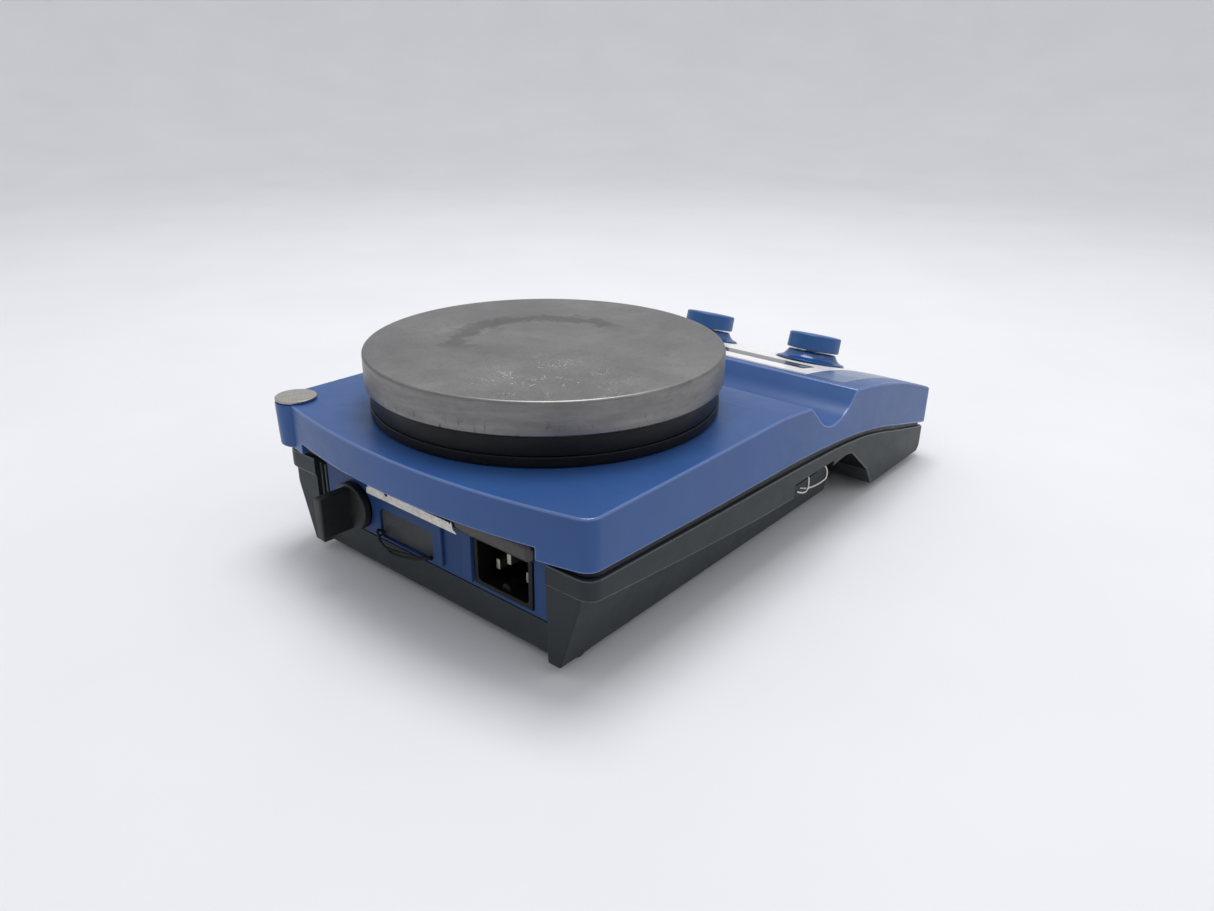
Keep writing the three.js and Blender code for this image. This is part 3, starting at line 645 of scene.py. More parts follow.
    # Burnt marks run up from the rim's lower edge.
    upright = add("CombineXYZ", {"X": add("Math", {0: turn, 1: 0.06}, operation="MULTIPLY"),
                                 "Z": add("Math", {0: z, 1: 0.3}, operation="MULTIPLY")})
    marks = add("TexNoise", {"Vector": upright, "Scale": per(1.6), "Detail": 3, "Roughness": 0.6})
    marked = add("MapRange", {"Value": marks, "From Min": 0.58, "From Max": 0.7, "To Max": 0.8})
    low = add("MapRange", {"Value": z, "From Min": 79 * MM, "From Max": 73.8 * MM})
    burnt = add("Math", {0: marked, 1: low}, operation="MULTIPLY")
    base = add("Mix", {FACTOR: burnt, COLOUR_A: base, COLOUR_B: tinted(linear("#3A332E"))}, **COLOUR_MIX)

    worn = add("MapRange", {"Value": clouds, **NOISE_SPAN, "To Min": 0.36, "To Max": 0.48})
    rough = add("Math", {0: stain, 1: 0.2, 2: worn}, operation="MULTIPLY_ADD")
    rough = add("Math", {0: salt, 1: 0.3, 2: rough}, operation="MULTIPLY_ADD")
    bump = add("Bump", {"Height": lines, "Strength": 0.25, "Distance": 0.02 * MM})
    bump = add("Bump", {"Height": grit, "Strength": 0.15, "Distance": 0.03 * MM, "Normal": bump})
    bump = add("Bump", {"Height": salt, "Strength": 0.6, "Distance": 0.15 * MM, "Normal": bump})
    add("OutputMaterial", {"Surface": add("BsdfPrincipled", {
        "Base Color": base, "Metallic": 1.0, "Roughness": rough, "Normal": bump})})
    return material


def bare_metal(name, hex_colour, roughness, grain):
    """Bare metal: a fine tumbled grain, with dull patches of oxide and handling."""
    rgb = linear(hex_colour)
    material, add = new_material(name)
    place = add("TexCoord", {}, "Object")
    fine = add("TexNoise", {"Vector": place, "Scale": per(grain), "Detail": 3, "Roughness": 0.65})
    tone = add("MapRange", {"Value": fine, **NOISE_SPAN})
    base = add("Mix", {FACTOR: tone, COLOUR_A: tinted(rgb, 0.8), COLOUR_B: tinted(rgb, 1.12)}, **COLOUR_MIX)
    dull = add("TexNoise", {"Vector": place, "Scale": per(7), "Detail": 4, "Roughness": 0.6})
    oxide = add("MapRange", {"Value": dull, "From Min": 0.5, "From Max": 0.75, "To Max": 0.4})
    base = add("Mix", {FACTOR: oxide, COLOUR_A: base, COLOUR_B: tinted(rgb, 0.6)}, **COLOUR_MIX)
    rough = add("MapRange", {"Value": dull, **NOISE_SPAN,
                             "To Min": roughness, "To Max": roughness + 0.18})
    bump = add("Bump", {"Height": fine, "Strength": 0.3, "Distance": 0.03 * MM})
    add("OutputMaterial", {"Surface": add("BsdfPrincipled", {
        "Base Color": base, "Metallic": 1.0, "Roughness": rough, "Normal": bump})})
    return material


def printed_foil():
    """Polyester film printed from behind: a pale field between two blue-grey ends, a painted shade line along its front
    and back edges, soft gloss.
    """
    colours = bpy.context.scene.stirrer_colours
    material, add = new_material("polyester_foil_printed")
    place = add("TexCoord", {}, "Object")
    x, y, _ = add("SeparateXYZ", {"Vector": place}).node.outputs
    side = add("Math", {0: x}, operation="ABSOLUTE")
    # The pale field's ends run straight, then lean outwards near the front.
    edge = add("MapRange", {"Value": y, "From Min": -88 * MM, "From Max": -130 * MM,
                            "To Min": 52.5 * MM, "To Max": 62 * MM}, interpolation_type="SMOOTHERSTEP")
    beyond = add("Math", {0: side, 1: edge}, operation="GREATER_THAN")
    haze = add("TexNoise", {"Vector": place, "Scale": per(14), "Detail": 4, "Roughness": 0.6})
    field = add("MapRange", {"Value": haze, **NOISE_SPAN})
    white, blue = (
        add("Mix", {FACTOR: field, COLOUR_A: tinted(rgb, dark), COLOUR_B: tinted(rgb, light)}, **COLOUR_MIX)
        for rgb, dark, light in ((colours.foil_white, 0.92, 1.05), (colours.foil_blue, 0.9, 1.1)))
    base = add("Mix", {FACTOR: beyond, COLOUR_A: white, COLOUR_B: blue}, **COLOUR_MIX)
    # Painted shade: a dark line, 0.8 mm wide, along the film's front and back edges, for the casting's edge that shows
    # dark beyond it.
    front = add("Math", {0: y, 1: (OVERLAY["front"] + 1.2) * MM, 2: 0.4 * MM}, operation="COMPARE")
    back = add("Math", {0: y, 1: (OVERLAY["back"] - 1.2) * MM, 2: 0.4 * MM}, operation="COMPARE")
    edge_shade_line = add("Math", {0: front, 1: back}, operation="MAXIMUM")
    base = add("Mix", {FACTOR: edge_shade_line, COLOUR_A: base, COLOUR_B: tinted(linear("#2A3A55"))}, **COLOUR_MIX)
    # White rub marks on the blue ends.
    rubs = add("TexNoise", {"Vector": place, "Scale": per(5), "Detail": 4, "Roughness": 0.7, "Distortion": 1.5})
    lightened = add("MapRange", {"Value": rubs, "From Min": 0.63, "From Max": 0.76, "To Max": 0.45})
    lightened = add("Math", {0: lightened, 1: beyond}, operation="MULTIPLY")
    base = add("Mix", {FACTOR: lightened, COLOUR_A: base, COLOUR_B: tinted(linear("#D9DEE6"))}, **COLOUR_MIX)
    rough = add("MapRange", {"Value": haze, **NOISE_SPAN, "To Min": 0.24, "To Max": 0.36})
    film = add("TexNoise", {"Vector": place, "Scale": per(1.6)})
    bump = add("Bump", {"Height": film, "Strength": 0.06, "Distance": 0.05 * MM})
    add("OutputMaterial", {"Surface": add("BsdfPrincipled", {
        "Base Color": base, "Roughness": rough, "IOR": 1.57, "Coat Weight": 0.15, "Coat Roughness": 0.12,
        "Normal": bump})})
    return material


def display_acrylic():
    """Smoked acrylic over the display: hard, glossy, with fine wiping marks."""
    material, add = new_material("smoked_acrylic")
    place = add("TexCoord", {}, "Object")
    marks = add("TexNoise", {"Vector": place, "Scale": per(5), "Detail": 4, "Roughness": 0.6, "Distortion": 0.8})
    base = add("Mix", {FACTOR: marks, COLOUR_A: tinted(linear("#3B3A3C")), COLOUR_B: tinted(linear("#5A5859"))},
               **COLOUR_MIX)
    rough = add("MapRange", {"Value": marks, **NOISE_SPAN, "To Min": 0.06, "To Max": 0.16})
    waves = add("TexNoise", {"Vector": place, "Scale": per(3)})
    bump = add("Bump", {"Height": waves, "Strength": 0.03, "Distance": 0.05 * MM})
    add("OutputMaterial", {"Surface": add("BsdfPrincipled", {
        "Base Color": base, "Roughness": rough, "IOR": 1.49, "Normal": bump})})
    return material


def circuit_board():
    """Glass-epoxy board: green solder mask over copper tracks, with a faint gloss."""
    material, add = new_material("glass_epoxy_laminate")
    place = add("TexCoord", {}, "Object")
    tracks = add("TexBrick", {
        "Vector": place, "Scale": per(9), "Mortar Size": 0.04, "Color1": tinted(linear("#1D5B37")),
        "Color2": tinted(linear("#20633C")), "Mortar": tinted(linear("#3E8A58"))}, "Color")
    mask = add("TexNoise", {"Vector": place, "Scale": per(4)})
    rough = add("MapRange", {"Value": mask, **NOISE_SPAN, "To Min": 0.25, "To Max": 0.4})
    bump = add("Bump", {"Height": mask, "Strength": 0.1, "Distance": 0.05 * MM})
    add("OutputMaterial", {"Surface": add("BsdfPrincipled", {
        "Base Color": tracks, "Roughness": rough, "IOR": 1.55, "Normal": bump})})
    return material


def laminated_iron():
    """Transformer core of stacked sheet iron: dull, with a line for each sheet.

    The sheets are half a millimetre thick, drawn at 1 mm so that they show.
    """
    material, add = new_material("laminated_sheet_iron")
    place = add("TexCoord", {}, "Object")
    # A wave texture draws a line for each twentieth of its scale.
    sheets = add("TexWave", {"Vector": place, "Scale": per(20), "Distortion": 0.4}, "Fac", bands_direction="Z")
    base = add("Mix", {FACTOR: sheets, COLOUR_A: tinted(linear("#3A3A3D")), COLOUR_B: tinted(linear("#6A6A6C"))},
               **COLOUR_MIX)
    varnish = add("TexNoise", {"Vector": place, "Scale": per(6), "Detail": 3})
    rough = add("MapRange", {"Value": varnish, **NOISE_SPAN, "To Min": 0.45, "To Max": 0.65})
    bump = add("Bump", {"Height": sheets, "Strength": 0.3, "Distance": 0.1 * MM})
    add("OutputMaterial", {"Surface": add("BsdfPrincipled", {
        "Base Color": base, "Metallic": 0.8, "Roughness": rough, "Normal": bump})})
    return material


FINISHES = {}


def finish_named(name):
    """The shared material of a name, made once."""
    colours = bpy.context.scene.stirrer_colours
    makers = {
        "blue_coat": blue_powder_coat,
        "blue_edge_highlight": blue_powder_coat_painted_highlight,
        "grey_coat": grey_powder_coat,
        # The rear panel: pressed steel, flatter than the castings, its blue darkened as painted shade for the recess
        # under the overhang.
        "blue_panel": lambda: powder_coat(
            "powder_coated_steel_blue_painted_shade", [c * 0.6 for c in colours.blue_paint], 0.4, 0.06, 0.2),
        # The lower casting's edges: the grey coat made a shade lighter as a painted highlight, so that they draw a thin
        # line.
        "grey_edge_highlight": lambda: powder_coat(
            "powder_coated_aluminium_grey_painted_highlight", [c * 1.5 + 0.012 for c in colours.grey_paint], 0.28, 0.05, 0.5),
        # The grip's roof: painted shade, a matt black finish for the deep shadow under the grip.
        "painted_grip_shade": lambda: moulded_plastic("grip_painted_shade_black", linear("#0A0B0D"), 0.75, 0.8, 0.2, 0.15),
        "steel": ground_steel,
        # Sockets and plugs: glass-filled nylon, a dull black that shows grey where light grazes it.
        "nylon": lambda: moulded_plastic("glass_filled_nylon_black", colours.black_plastic, 0.46),
        # The inlet: the same nylon ungrained, darkened as painted shade so that its mouth reads as a dark hole.
        "inlet": lambda: moulded_plastic("nylon_black_painted_shade", linear("#070708"), 0.5, 0.6, 0.05, 0.25),
        # The plate's ring: phenolic moulding, the deepest black, smooth enough for one soft line of light.
        "ring": lambda: moulded_plastic("phenolic_black", linear("#08080A"), 0.4, 0.8, 0.05, 0.25),
        # Seals, feet and the lid's strap: silicone, matt and light-drinking.
        "rubber": lambda: moulded_plastic("silicone_rubber_black", linear("#0E0E0F"), 0.66, 0.4, 0.2, 0.35),
        # The rail: polyamide extrusion, a warm dark grey with a waxy sheen.
        "rail": lambda: moulded_plastic("extruded_polyamide_grey", linear("#2A2724"), 0.24, 0.5, 0.05),
        # Knobs: ABS, a satin mid blue, a little lighter than the paint.
        "knob": lambda: moulded_plastic("abs_blue", colours.blue_plastic, 0.42, 0.3, 0.08),
        # Collars: the same ABS from a polished mould, so they catch sharp lights.
        "collar": lambda: moulded_plastic("abs_blue_polished", linear("#1F4A84"), 0.18, 1.4, 0.03),
        # The interface lid: ABS in a flat charcoal with a leathery grain.
        "lid": lambda: moulded_plastic("abs_dark_grey", linear("#25282D"), 0.5, 0.5, 0.2),
        # The rocker: translucent polycarbonate, seen as a glossy green.
        "switch": lambda: moulded_plastic("polycarbonate_green", linear("#237A41"), 0.3),
        # Cast and turned aluminium left bare: pale, grainy, softly bright.
        "aluminium": lambda: bare_metal("cast_aluminium_bare", "#B2B0AA", 0.42, 0.9),
        # Zinc plate on screws and brackets: bluish white, brighter than the aluminium.
        "zinc": lambda: bare_metal("zinc_plated_steel", "#B4B6B8", 0.3, 0.5),
        # Nickel on the pins and bush: a faint yellow under the shine.
        "brass": lambda: bare_metal("nickel_plated_brass", "#A9A497", 0.3, 0.5),
        # Heater ribbon: coppery, heat-dulled.
        "heater": lambda: bare_metal("heater_alloy", "#A8714A", 0.4, 0.6),
        # Magnets: dark grey and slightly rough from the sinter.
        "magnet": lambda: bare_metal("sintered_magnet_alloy", "#5C5D60", 0.45, 0.4),
        # The side clip: drawn spring wire, the brightest metal on the stirrer.
        "spring": lambda: bare_metal("spring_steel_wire", "#D8D4CC", 0.22, 0.4),
        # The rating strip: thin label foil, pale and scuffed.
        "label": lambda: bare_metal("aluminium_label_foil", "#D2CFC9", 0.45, 1.2),
        "foil": printed_foil,
        "acrylic": display_acrylic,
        "board": circuit_board,
        "core": laminated_iron,
    }
    if name not in FINISHES:
        FINISHES[name] = makers[name]()
    return FINISHES[name]


# ---------------------------------------------------------------- the pieces


class UpperCasting(bpy.types.Operator):
    """Model the blue upper casting with its deck, trough, console and rod boss"""

    bl_idname = "stirrer.upper_casting"
    bl_label = "Upper casting"

    def execute(self, context):
        sizes = context.scene.stirrer_sizes
        wall = sizes.wall / MM
        front_foot = FRONT + NOSE_LEAN
        seam = list(reversed(seam_line(UPPER_SEAM)))
        seam_front = seam[0][1] - (seam[0][0] - front_foot) * NOSE_SLOPE
        nose = [(FRONT, CONSOLE_FRONT[1] - 1.2), (front_foot, seam_front)]
        casting = across("upper_casting", [*top_line(0), *nose, *seam], -HALF, HALF)
        meet(casting, upright("plan", body_outline(0), 0, 90))
        half, depth, top = RECESS["half"], RECESS["depth_y"], RECESS["top"]
        cut(casting, block("recess", (-half, depth, 0), (half, REAR + 1, top)))
        # The rounded edges take the lighter coat, a painted highlight.
        edge = coated(casting, "blue_coat", "blue_edge_highlight")
        rounded(welded(casting, 0.6), sizes.edge_round, sizes.round_steps, clamp=False, material=edge)
        inside = across("inside", [
            *top_line(wall), (FRONT - 5, CONSOLE_FRONT[1] - 5), (FRONT - 5, 0), (REAR + 10, 0)], -HALF, HALF)
        meet(inside, upright("inner_plan", body_outline(wall), 0, 90))
        cut(casting, inside)
        boss = turned("boss", [
            (0, 44), (6.9, 44), (7.5, 44.5), (7.7, 50), (8, 60.7), (7.7, 61.3), (7.1, 61.4), (0, 61.4),
        ], (*ROD_BOSS, 0), 48)
        join(casting, boss)
        cut(casting, turned("boss_bore", [(0, 46), (6.8, 46), (6.8, 70), (0, 70)], (*ROD_BOSS, 0), 48))
        half, back, front = OVERLAY["half"] + CLEAR, OVERLAY["back"] + CLEAR, OVERLAY["front"] - CLEAR
        pocket = across("pocket", [
            *console_line(back, front, -OVERLAY["thick"] - CLEAR), *reversed(console_line(back, front, 3)),
        ], -half, half)
        meet(pocket, upright("pocket_plan", rounded_rectangle((-half, front), (half, back), 4), 20, 80))
        deck_hole = turned("deck_hole", [(0, 50), (52, 50), (52, 70), (0, 70)], (0, PLATE_Y, 0), 72)
        switch_hole = block("switch_hole", (42.2, FRONT - 1, 19.9), (61.8, FRONT + 7, 32.5))
        cut(casting, pocket, deck_hole, switch_hole)
        for side in (-1, 1):
            shaft_hole = turned("shaft_hole", [(0, -8), (4, -8), (4, 8), (0, 8)], (0, 0, 0), 32)
            cut(casting, placed(shaft_hole, knob_place(side)))
        finished(casting, "housing", "blue_coat", "blue_paint", "upper_housing")
        return {"FINISHED"}


class LowerCasting(bpy.types.Operator):
    """Model the grey lower casting with its band, tray, legs and grip channel, and the gasket above it"""

    bl_idname = "stirrer.lower_casting"
    bl_label = "Lower casting"

    def execute(self, context):
        sizes = context.scene.stirrer_sizes
        wall = sizes.wall / MM
        band_low = [(-25, 24.6), (-5.7, 23.3), (25, 24.5), (65, 27.6), (113.4, 32.1), (140, 34.4)]
        band = across("lower_casting", [
            *[p for p in seam_line(LOWER_SEAM) if p[0] > FRONT + 4],
            (FRONT + 2.2, 15.9), (FRONT + 2, 8.4), (FRONT + 7.6, BASE_Z),
            (-77, BASE_Z), (-70.5, 12.9), (-52, 27), (-46, 28), (-37, 27.2), *band_low,
        ], -HALF, HALF)
        meet(band, upright("band_plan", tray_outline(HALF - 0.4, FRONT + 1, LEG_REAR_Y, 6), 0, 90))
        painted_grip_shade = coated(band, "grey_coat", "grey_edge_highlight", "painted_grip_shade")
        edge = painted_grip_shade - 1
        # The band's rounded edges take the lighter grey, a painted highlight.
        rounded(welded(band, 0.5), 0.6 * MM, 2, clamp=False, material=edge)
        tray = across("tray", [
            (-38.5, 30), (-57, BASE_Z), (118, BASE_Z), (120.4, RECESS["bottom"]), (LEG_REAR_Y - 0.5, 22),
            (LEG_REAR_Y - 0.5, 36)], -HALF, HALF)
        meet(tray, tray_taper("taper", 0, BASE_Z))
        rounded(tray, 1.1 * MM, 2)
        legs = []
        for side in (-1, 1):
            inner, outer = sorted((side * RECESS["half"], side * HALF))
            leg = block("leg", (inner, 106, BASE_Z), (outer, LEG_REAR_Y - 0.5, 36))
            legs.append(rounded(meet(leg, tray_taper("leg_taper", 0, BASE_Z)), 0.8 * MM, 2))
        tongue = across("tongue", [
            *seam_line(LOWER_SEAM, TONGUE), (FRONT, 10), (-72, 15), (-53, 28.6), (-40, 29.4), (REAR, 38)], -HALF, HALF)
        meet(tongue, upright("tongue_plan", tray_outline(
            HALF - wall - CLEAR, FRONT + wall + CLEAR, LEG_REAR_Y - 2, REAR_CORNER - 1.5), 0, 90))
        casting = join(band, tray, tongue, *legs)
        wide = across("wide_hollow", [
            (116, 37), (-36, 29.6), (-54, 30), (-76, 15), (-80, 7.5), (FRONT + 9, 7.2), (FRONT + 6, 9),
            (FRONT + 6, 70), (116, 70)], -HALF, HALF)
        meet(wide, upright("hollow_plan", tray_outline(
            HALF - 4.8, FRONT + wall + CLEAR + 2.2, LEG_REAR_Y - 4.2, 4), 0, 90))
        floor_z = BASE_Z + TRAY["floor"]
        deep = across("deep_hollow", [
            (-51, floor_z), (-36.5, 28), (-36.5, 45), (117.8, 45), (117.8, 20), (114.8, floor_z)], -HALF, HALF)
        meet(deep, tray_taper("inner_taper", TRAY["wall"], floor_z))
        boss_room = turned("boss_room", [(0, 43.7), (8.4, 43.7), (8.4, 90), (0, 90)], (*ROD_BOSS, 0), 48)
        switch_room = block("switch_room", (41.5, FRONT, 19.7), (62.5, FRONT + 8, 90))
        recess = block("rear_recess", (-RECESS["half"], RECESS["depth_y"] + 0.4, RECESS["bottom"]),
                       (RECESS["half"], REAR, 80))
        slot = block("slot", (-HALF - 1, SLOT["back"], SLOT["bottom"]),
                     (-HALF + SLOT["depth"], SLOT["front"], SLOT["top"]))
        rounded(slot, 0.8 * MM, 2)
        cut(casting, wide, deep, boss_room, switch_room, recess, slot)
        ribs = [
            block("rib", (55.6, 112, 17), (62, 118.6, 39)),
            block("rib", (55.6, 112, 17), (57, 120.6, 39)),
            block("rib", (58.4, 112, 17), (59.8, 120.6, 39)),
        ]
        for rib in ribs:
            rounded(rib, 0.4 * MM, 2)
        join(casting, *ribs)
        # Faces under the grip's roof take the black finish, painted shade for the grip's deep shadow.
        for face in casting.data.polygons:
            x, y, z = face.center / MM
            in_grip = FRONT_GRIP["front"] < y < FRONT_GRIP["back"] and FRONT_GRIP["low"] < z < FRONT_GRIP["high"]
            if in_grip and abs(x) < HALF - 1 and face.normal.z < 0.1:
                face.material_index = painted_grip_shade
        finished(casting, "housing", "grey_coat", "grey_paint", "lower_housing")
        gasket = across("seam_gasket", [
            *seam_line(UPPER_SEAM, 0.4), *reversed(seam_line(LOWER_SEAM, -0.4))], -HALF, HALF)
        outer, inner = 1.5, wall + CLEAR + 0.2
        meet(gasket, upright("gasket_plan", tray_outline(
            HALF - outer, FRONT + outer + NOSE_LEAN, LEG_REAR_Y - outer, 6), 0, 90))
        cut(gasket, upright("gasket_hole", tray_outline(
            HALF - inner, FRONT + inner + NOSE_LEAN, LEG_REAR_Y - inner, 5), 0, 90),
            block("gasket_gap", (-RECESS["half"], 100, 0), (RECESS["half"], REAR, 80)))
        finished(gasket, "housing", "ring", "black_rubber")
        return {"FINISHED"}


def tray_taper(name, inset, floor_z):
    """The tray's tapering cross-section from a floor height up, its side walls moved in by an inset."""
    rise = (floor_z - BASE_Z) / (TRAY["shoulder_z"] - BASE_Z)
    low = TRAY["base_half"] + (TRAY["shoulder_half"] - TRAY["base_half"]) * rise - inset
    high = TRAY["shoulder_half"] - inset
    shoulder = TRAY["shoulder_z"]
    return along(name, [
        (-low, floor_z), (low, floor_z), (high, shoulder), (high, 45), (-high, 45), (-high, shoulder),
    ], -60, LEG_REAR_Y - 0.5)


class HotPlate(bpy.types.Operator):
    """Turn the steel plate, the black ring under it and the seal on the deck"""

    bl_idname = "stirrer.hot_plate"
    bl_label = "Hot plate and rings"

    def execute(self, context):
        sizes = context.scene.stirrer_sizes
        steps = sizes.turn_steps
        r, edge = PLATE_RADIUS, sizes.plate_round / MM
        low, high = PLATE_LOW.z, PLATE_HIGH.z
        plate = turned("hot_plate", [
            (0, low), (r - 1.2, low), *arc((r - 0.7, low + 0.7), 0.7, -90, 0, 3),
            *arc((r - edge, high - edge), edge, 0, 90, 5), (r - edge - 6, high), (0, high),
        ], (0, PLATE_Y, 0), steps)
        finished(plate, "housing", "steel", "plate_steel", "heating_plate", angle=50)
        ring_low, ring_high = extent("insulator_ring")
        ring_r, ring_foot = ring_high.x, ring_low.z - 0.25
        ring = turned("insulator_ring_moulded", [
            (60.5, ring_foot), (ring_r - 0.25, ring_foot), (ring_r, ring_foot + 0.25), (ring_r, ring_high.z - 0.8),
            (ring_r - 0.6, ring_high.z), (60.5, ring_high.z), (60.5, ring_foot),
        ], (0, PLATE_Y, 0), steps)
        finished(ring, "housing", "ring", "black_plastic", "insulator_ring", angle=50)
        seal_low, seal_high = extent("deck_seal")
        seal_r = seal_high.x
        seal = turned("deck_seal_moulded", [
            (60.5, seal_low.z), (seal_r - 0.5, seal_low.z), *arc((seal_r - 0.6, seal_low.z + 0.6), 0.6, -90, 0, 3),
            *arc((seal_r - 0.35, seal_high.z - 0.35), 0.35, 0, 90, 3), (60.5, seal_high.z), (60.5, seal_low.z),
        ], (0, PLATE_Y, 0), steps)
        finished(seal, "housing", "ring", "black_rubber", "deck_seal", angle=50)
        return {"FINISHED"}


class Knobs(bpy.types.Operator):
    """Turn a knob and its flared collar, then copy them to the second place"""

    bl_idname = "stirrer.knobs"
    bl_label = "Knobs and collars"

    def execute(self, context):
        r, lift, top = KNOB["radius"], KNOB["lift"], KNOB["lift"] + KNOB["height"]
        knob = turned("speed_dial_cap", [
            (0, 10.8), (3.4, 10.8), (3.4, lift), *arc((r - 0.5, lift + 0.5), 0.5, -90, 0, 3),
            *arc((r - 0.9, top - 1.1), 0.8, 0, 80, 4), (r - 3, top - 0.12), (r * 0.5, top - 0.03), (0, top),
        ], (0, 0, 0), 96)
        collar = turned("speed_dial_collar", [
            (4, 0.1), (16.4, 0.1), *arc((16.1, 0.55), 0.3, -20, 70, 3), (14.6, 1.25), (13.4, 1.9), (12.6, 2.8),
            (12, 3.8), (11.6, 4.5), (11.2, 4.8), (4, 4.8), (4, 0.1)], (0, 0, 0), 96)
        for body, side, cap_name, collar_name in (
            ("heat_dial", -1, "heat_dial_cap", "heat_dial_collar"), ("speed_dial", 1, knob.name, collar.name)):
            cap = knob if side > 0 else copied(knob, cap_name)
            skirt = collar if side > 0 else copied(collar, collar_name)
            nodes = body.replace("dial", "knob"), body.replace("dial", "collar")
            placed(cap, knob_place(side))
            placed(skirt, knob_place(side))
            finished(cap, body, "knob", "blue_plastic", nodes[0], angle=40)
            finished(skirt, "housing", "collar", "blue_plastic", nodes[1], angle=50)
        return {"FINISHED"}


class Console(bpy.types.Operator):
    """Lay the printed foil and the display window on the console"""

    bl_idname = "stirrer.console"
    bl_label = "Console foil and display"

    def execute(self, context):
        back, front, half, thick = OVERLAY["back"], OVERLAY["front"], OVERLAY["half"], OVERLAY["thick"]
        foil = across("console_foil", [
            *console_line(back, front, -thick), *reversed(console_line(back, front, 0))], -half, half)
        meet(foil, upright("foil_plan", rounded_rectangle((-half, front), (half, back), 3.6), 20, 80))
        window = rounded_rectangle(
            (-DISPLAY["half"] - CLEAR, DISPLAY["front"] - CLEAR), (DISPLAY["half"] + CLEAR, DISPLAY["back"] + CLEAR), 1)
        cut(foil, upright("window_hole", window, 30, 70))
        for side in (-1, 1):
            hole = turned("collar_hole", [(0, -4), (17, -4), (17, 4), (0, 4)], (0, 0, 0), 64)
            cut(foil, placed(hole, knob_place(side)))
        finished(foil, "housing", "foil", "label_foil", "console_overlay")
        lens_half = DISPLAY["half"]
        lens = across("display_lens", [
            *console_line(DISPLAY["back"], DISPLAY["front"], -thick, 4),
            *reversed(console_line(DISPLAY["back"], DISPLAY["front"], 0, 4))], -lens_half, lens_half)
        meet(lens, upright("lens_plan", rounded_rectangle(
            (-lens_half, DISPLAY["front"]), (lens_half, DISPLAY["back"]), 0.8), 20, 80))
        finished(lens, "housing", "acrylic", "window_plastic", "display_window")
        return {"FINISHED"}


class RodBoss(bpy.types.Operator):
    """Turn the aluminium plug that closes the rod boss"""

    bl_idname = "stirrer.rod_boss"
    bl_label = "Rod hole plug"

    def execute(self, context):
        disc = turned("rod_boss_plug", [
            (0, 49), (3.5, 49), (3.9, 49.4), (3.9, 61.7), (7.4, 61.7), *arc((7.4, 62.1), 0.4, -90, 0, 2),
            *arc((7.5, 62.5), 0.3, 0, 90, 3), (4, 62.8), (0, 62.8)], (*ROD_BOSS, 0), 64)
        finished(disc, "rod_plug", "aluminium", "bare_aluminium", "rod_hole_plug", angle=50)
        return {"FINISHED"}


class RearPanel(bpy.types.Operator):
    """Model the blue rear panel, its cover and tether, the rail and the rating plate"""

    bl_idname = "stirrer.rear_panel"
    bl_label = "Rear panel"

    def execute(self, context):
        inside = PANEL_Y - 2
        panel = block("rear_fascia", (-RECESS["half"] + CLEAR, inside, RECESS["bottom"] + CLEAR),
                      (55.2, PANEL_Y, DECK_Z - 2.8))
        rib = block("rib", (-11.4, PANEL_Y - 1, 20), (-9.6, PANEL_Y + 1.2, 39))
        column = block("column", (-26.8, PANEL_Y - 1, 20), (-22.4, PANEL_Y + 1.6, 39))
        for piece in (rib, column):
            rounded(piece, 0.4 * MM, 2)
        join(panel, rib, column)
        inlet_low, inlet_high = extent("mains_inlet")
        inlet_hole = block("inlet_hole", (inlet_low.x - CLEAR, 100, inlet_low.z - CLEAR),
                           (inlet_high.x + CLEAR, 130, inlet_high.z + CLEAR))
        window = along("window", rounded_rectangle((-5.3, 19.2), (24.3, 30.8), 2), 100, 130)
        x, z = SOCKET
        socket_hole = turned("socket_hole", [(0, -20), (9.3, -20), (9.3, 10), (0, 10)], (x, PANEL_Y, z), 64, False)
        cut(panel, inlet_hole, window, socket_hole)
        # The panel takes the darkened blue, painted shade for the recess under the overhang.
        finished(panel, "housing", "blue_panel", "blue_paint", "rear_panel")
        lid = along("interface_lid", rounded_rectangle((-5, 19.5), (24, 30.5), 1.8), inside, PANEL_Y - 0.8)
        rounded(lid, 0.4 * MM, 2)
        finished(lid, "cover", "lid", "grey_plastic", "interface_cover")
        front = 122.9
        strap = wire("lid_strap", [
            (23, 119.9, 21), (23.6, 122, 22.6), (22.4, front, 21), (20.5, front, 18), (17.5, front, 17.2),
            (14.5, front + 0.6, 16.9), (9.6, front + 0.4, 17.2), (1.6, front, 18.8), (-3.6, 122, 20.6),
            (-4, 119.9, 20.8)], 0.5)
        twin = wire("lid_strap_twin", [
            (23, 119.9, 20.6), (23.2, 122.4, 19.6), (20, front + 0.5, 18.9), (16.1, front + 1, 18.4),
            (10, front - 0.2, 18.4), (2, front - 0.4, 19.6), (-3.4, 121.8, 20.9), (-4, 119.9, 20.8)], 0.45)
        join(strap, twin)
        finished(strap, "cover", "rubber", "black_rubber", "cover_loop", angle=60)
        low, high = extent("label_rail")
        rail = block("moulded_rail", low, high)
        rounded(rail, 2.4 * MM, 5)
        finished(rail, "housing", "rail", "black_plastic", "label_rail", angle=40)
        low, high = extent("rating_plate")
        # The strip's ends are torn, and its top edge has a nick.
        edge = low.z + 3.3
        foil = along("rating_foil", [
            (low.x + 0.2, low.z), (high.x, low.z + 0.1), (high.x, low.z + 2.2), (high.x - 1.2, low.z + 2.9),
            (high.x - 0.8, edge), (11.6, edge), (10.9, edge - 1), (9.8, edge - 1.2), (9.2, edge),
            (low.x + 3.6, edge), (low.x + 3, edge - 0.8), (low.x + 2.6, edge + 0.5), (low.x + 2.1, edge - 0.3),
            (low.x + 1.8, low.z + 1.4), (low.x, low.z + 0.4)], low.y, high.y)
        finished(foil, "housing", "label", "label_foil", "rating_plate")
        return {"FINISHED"}


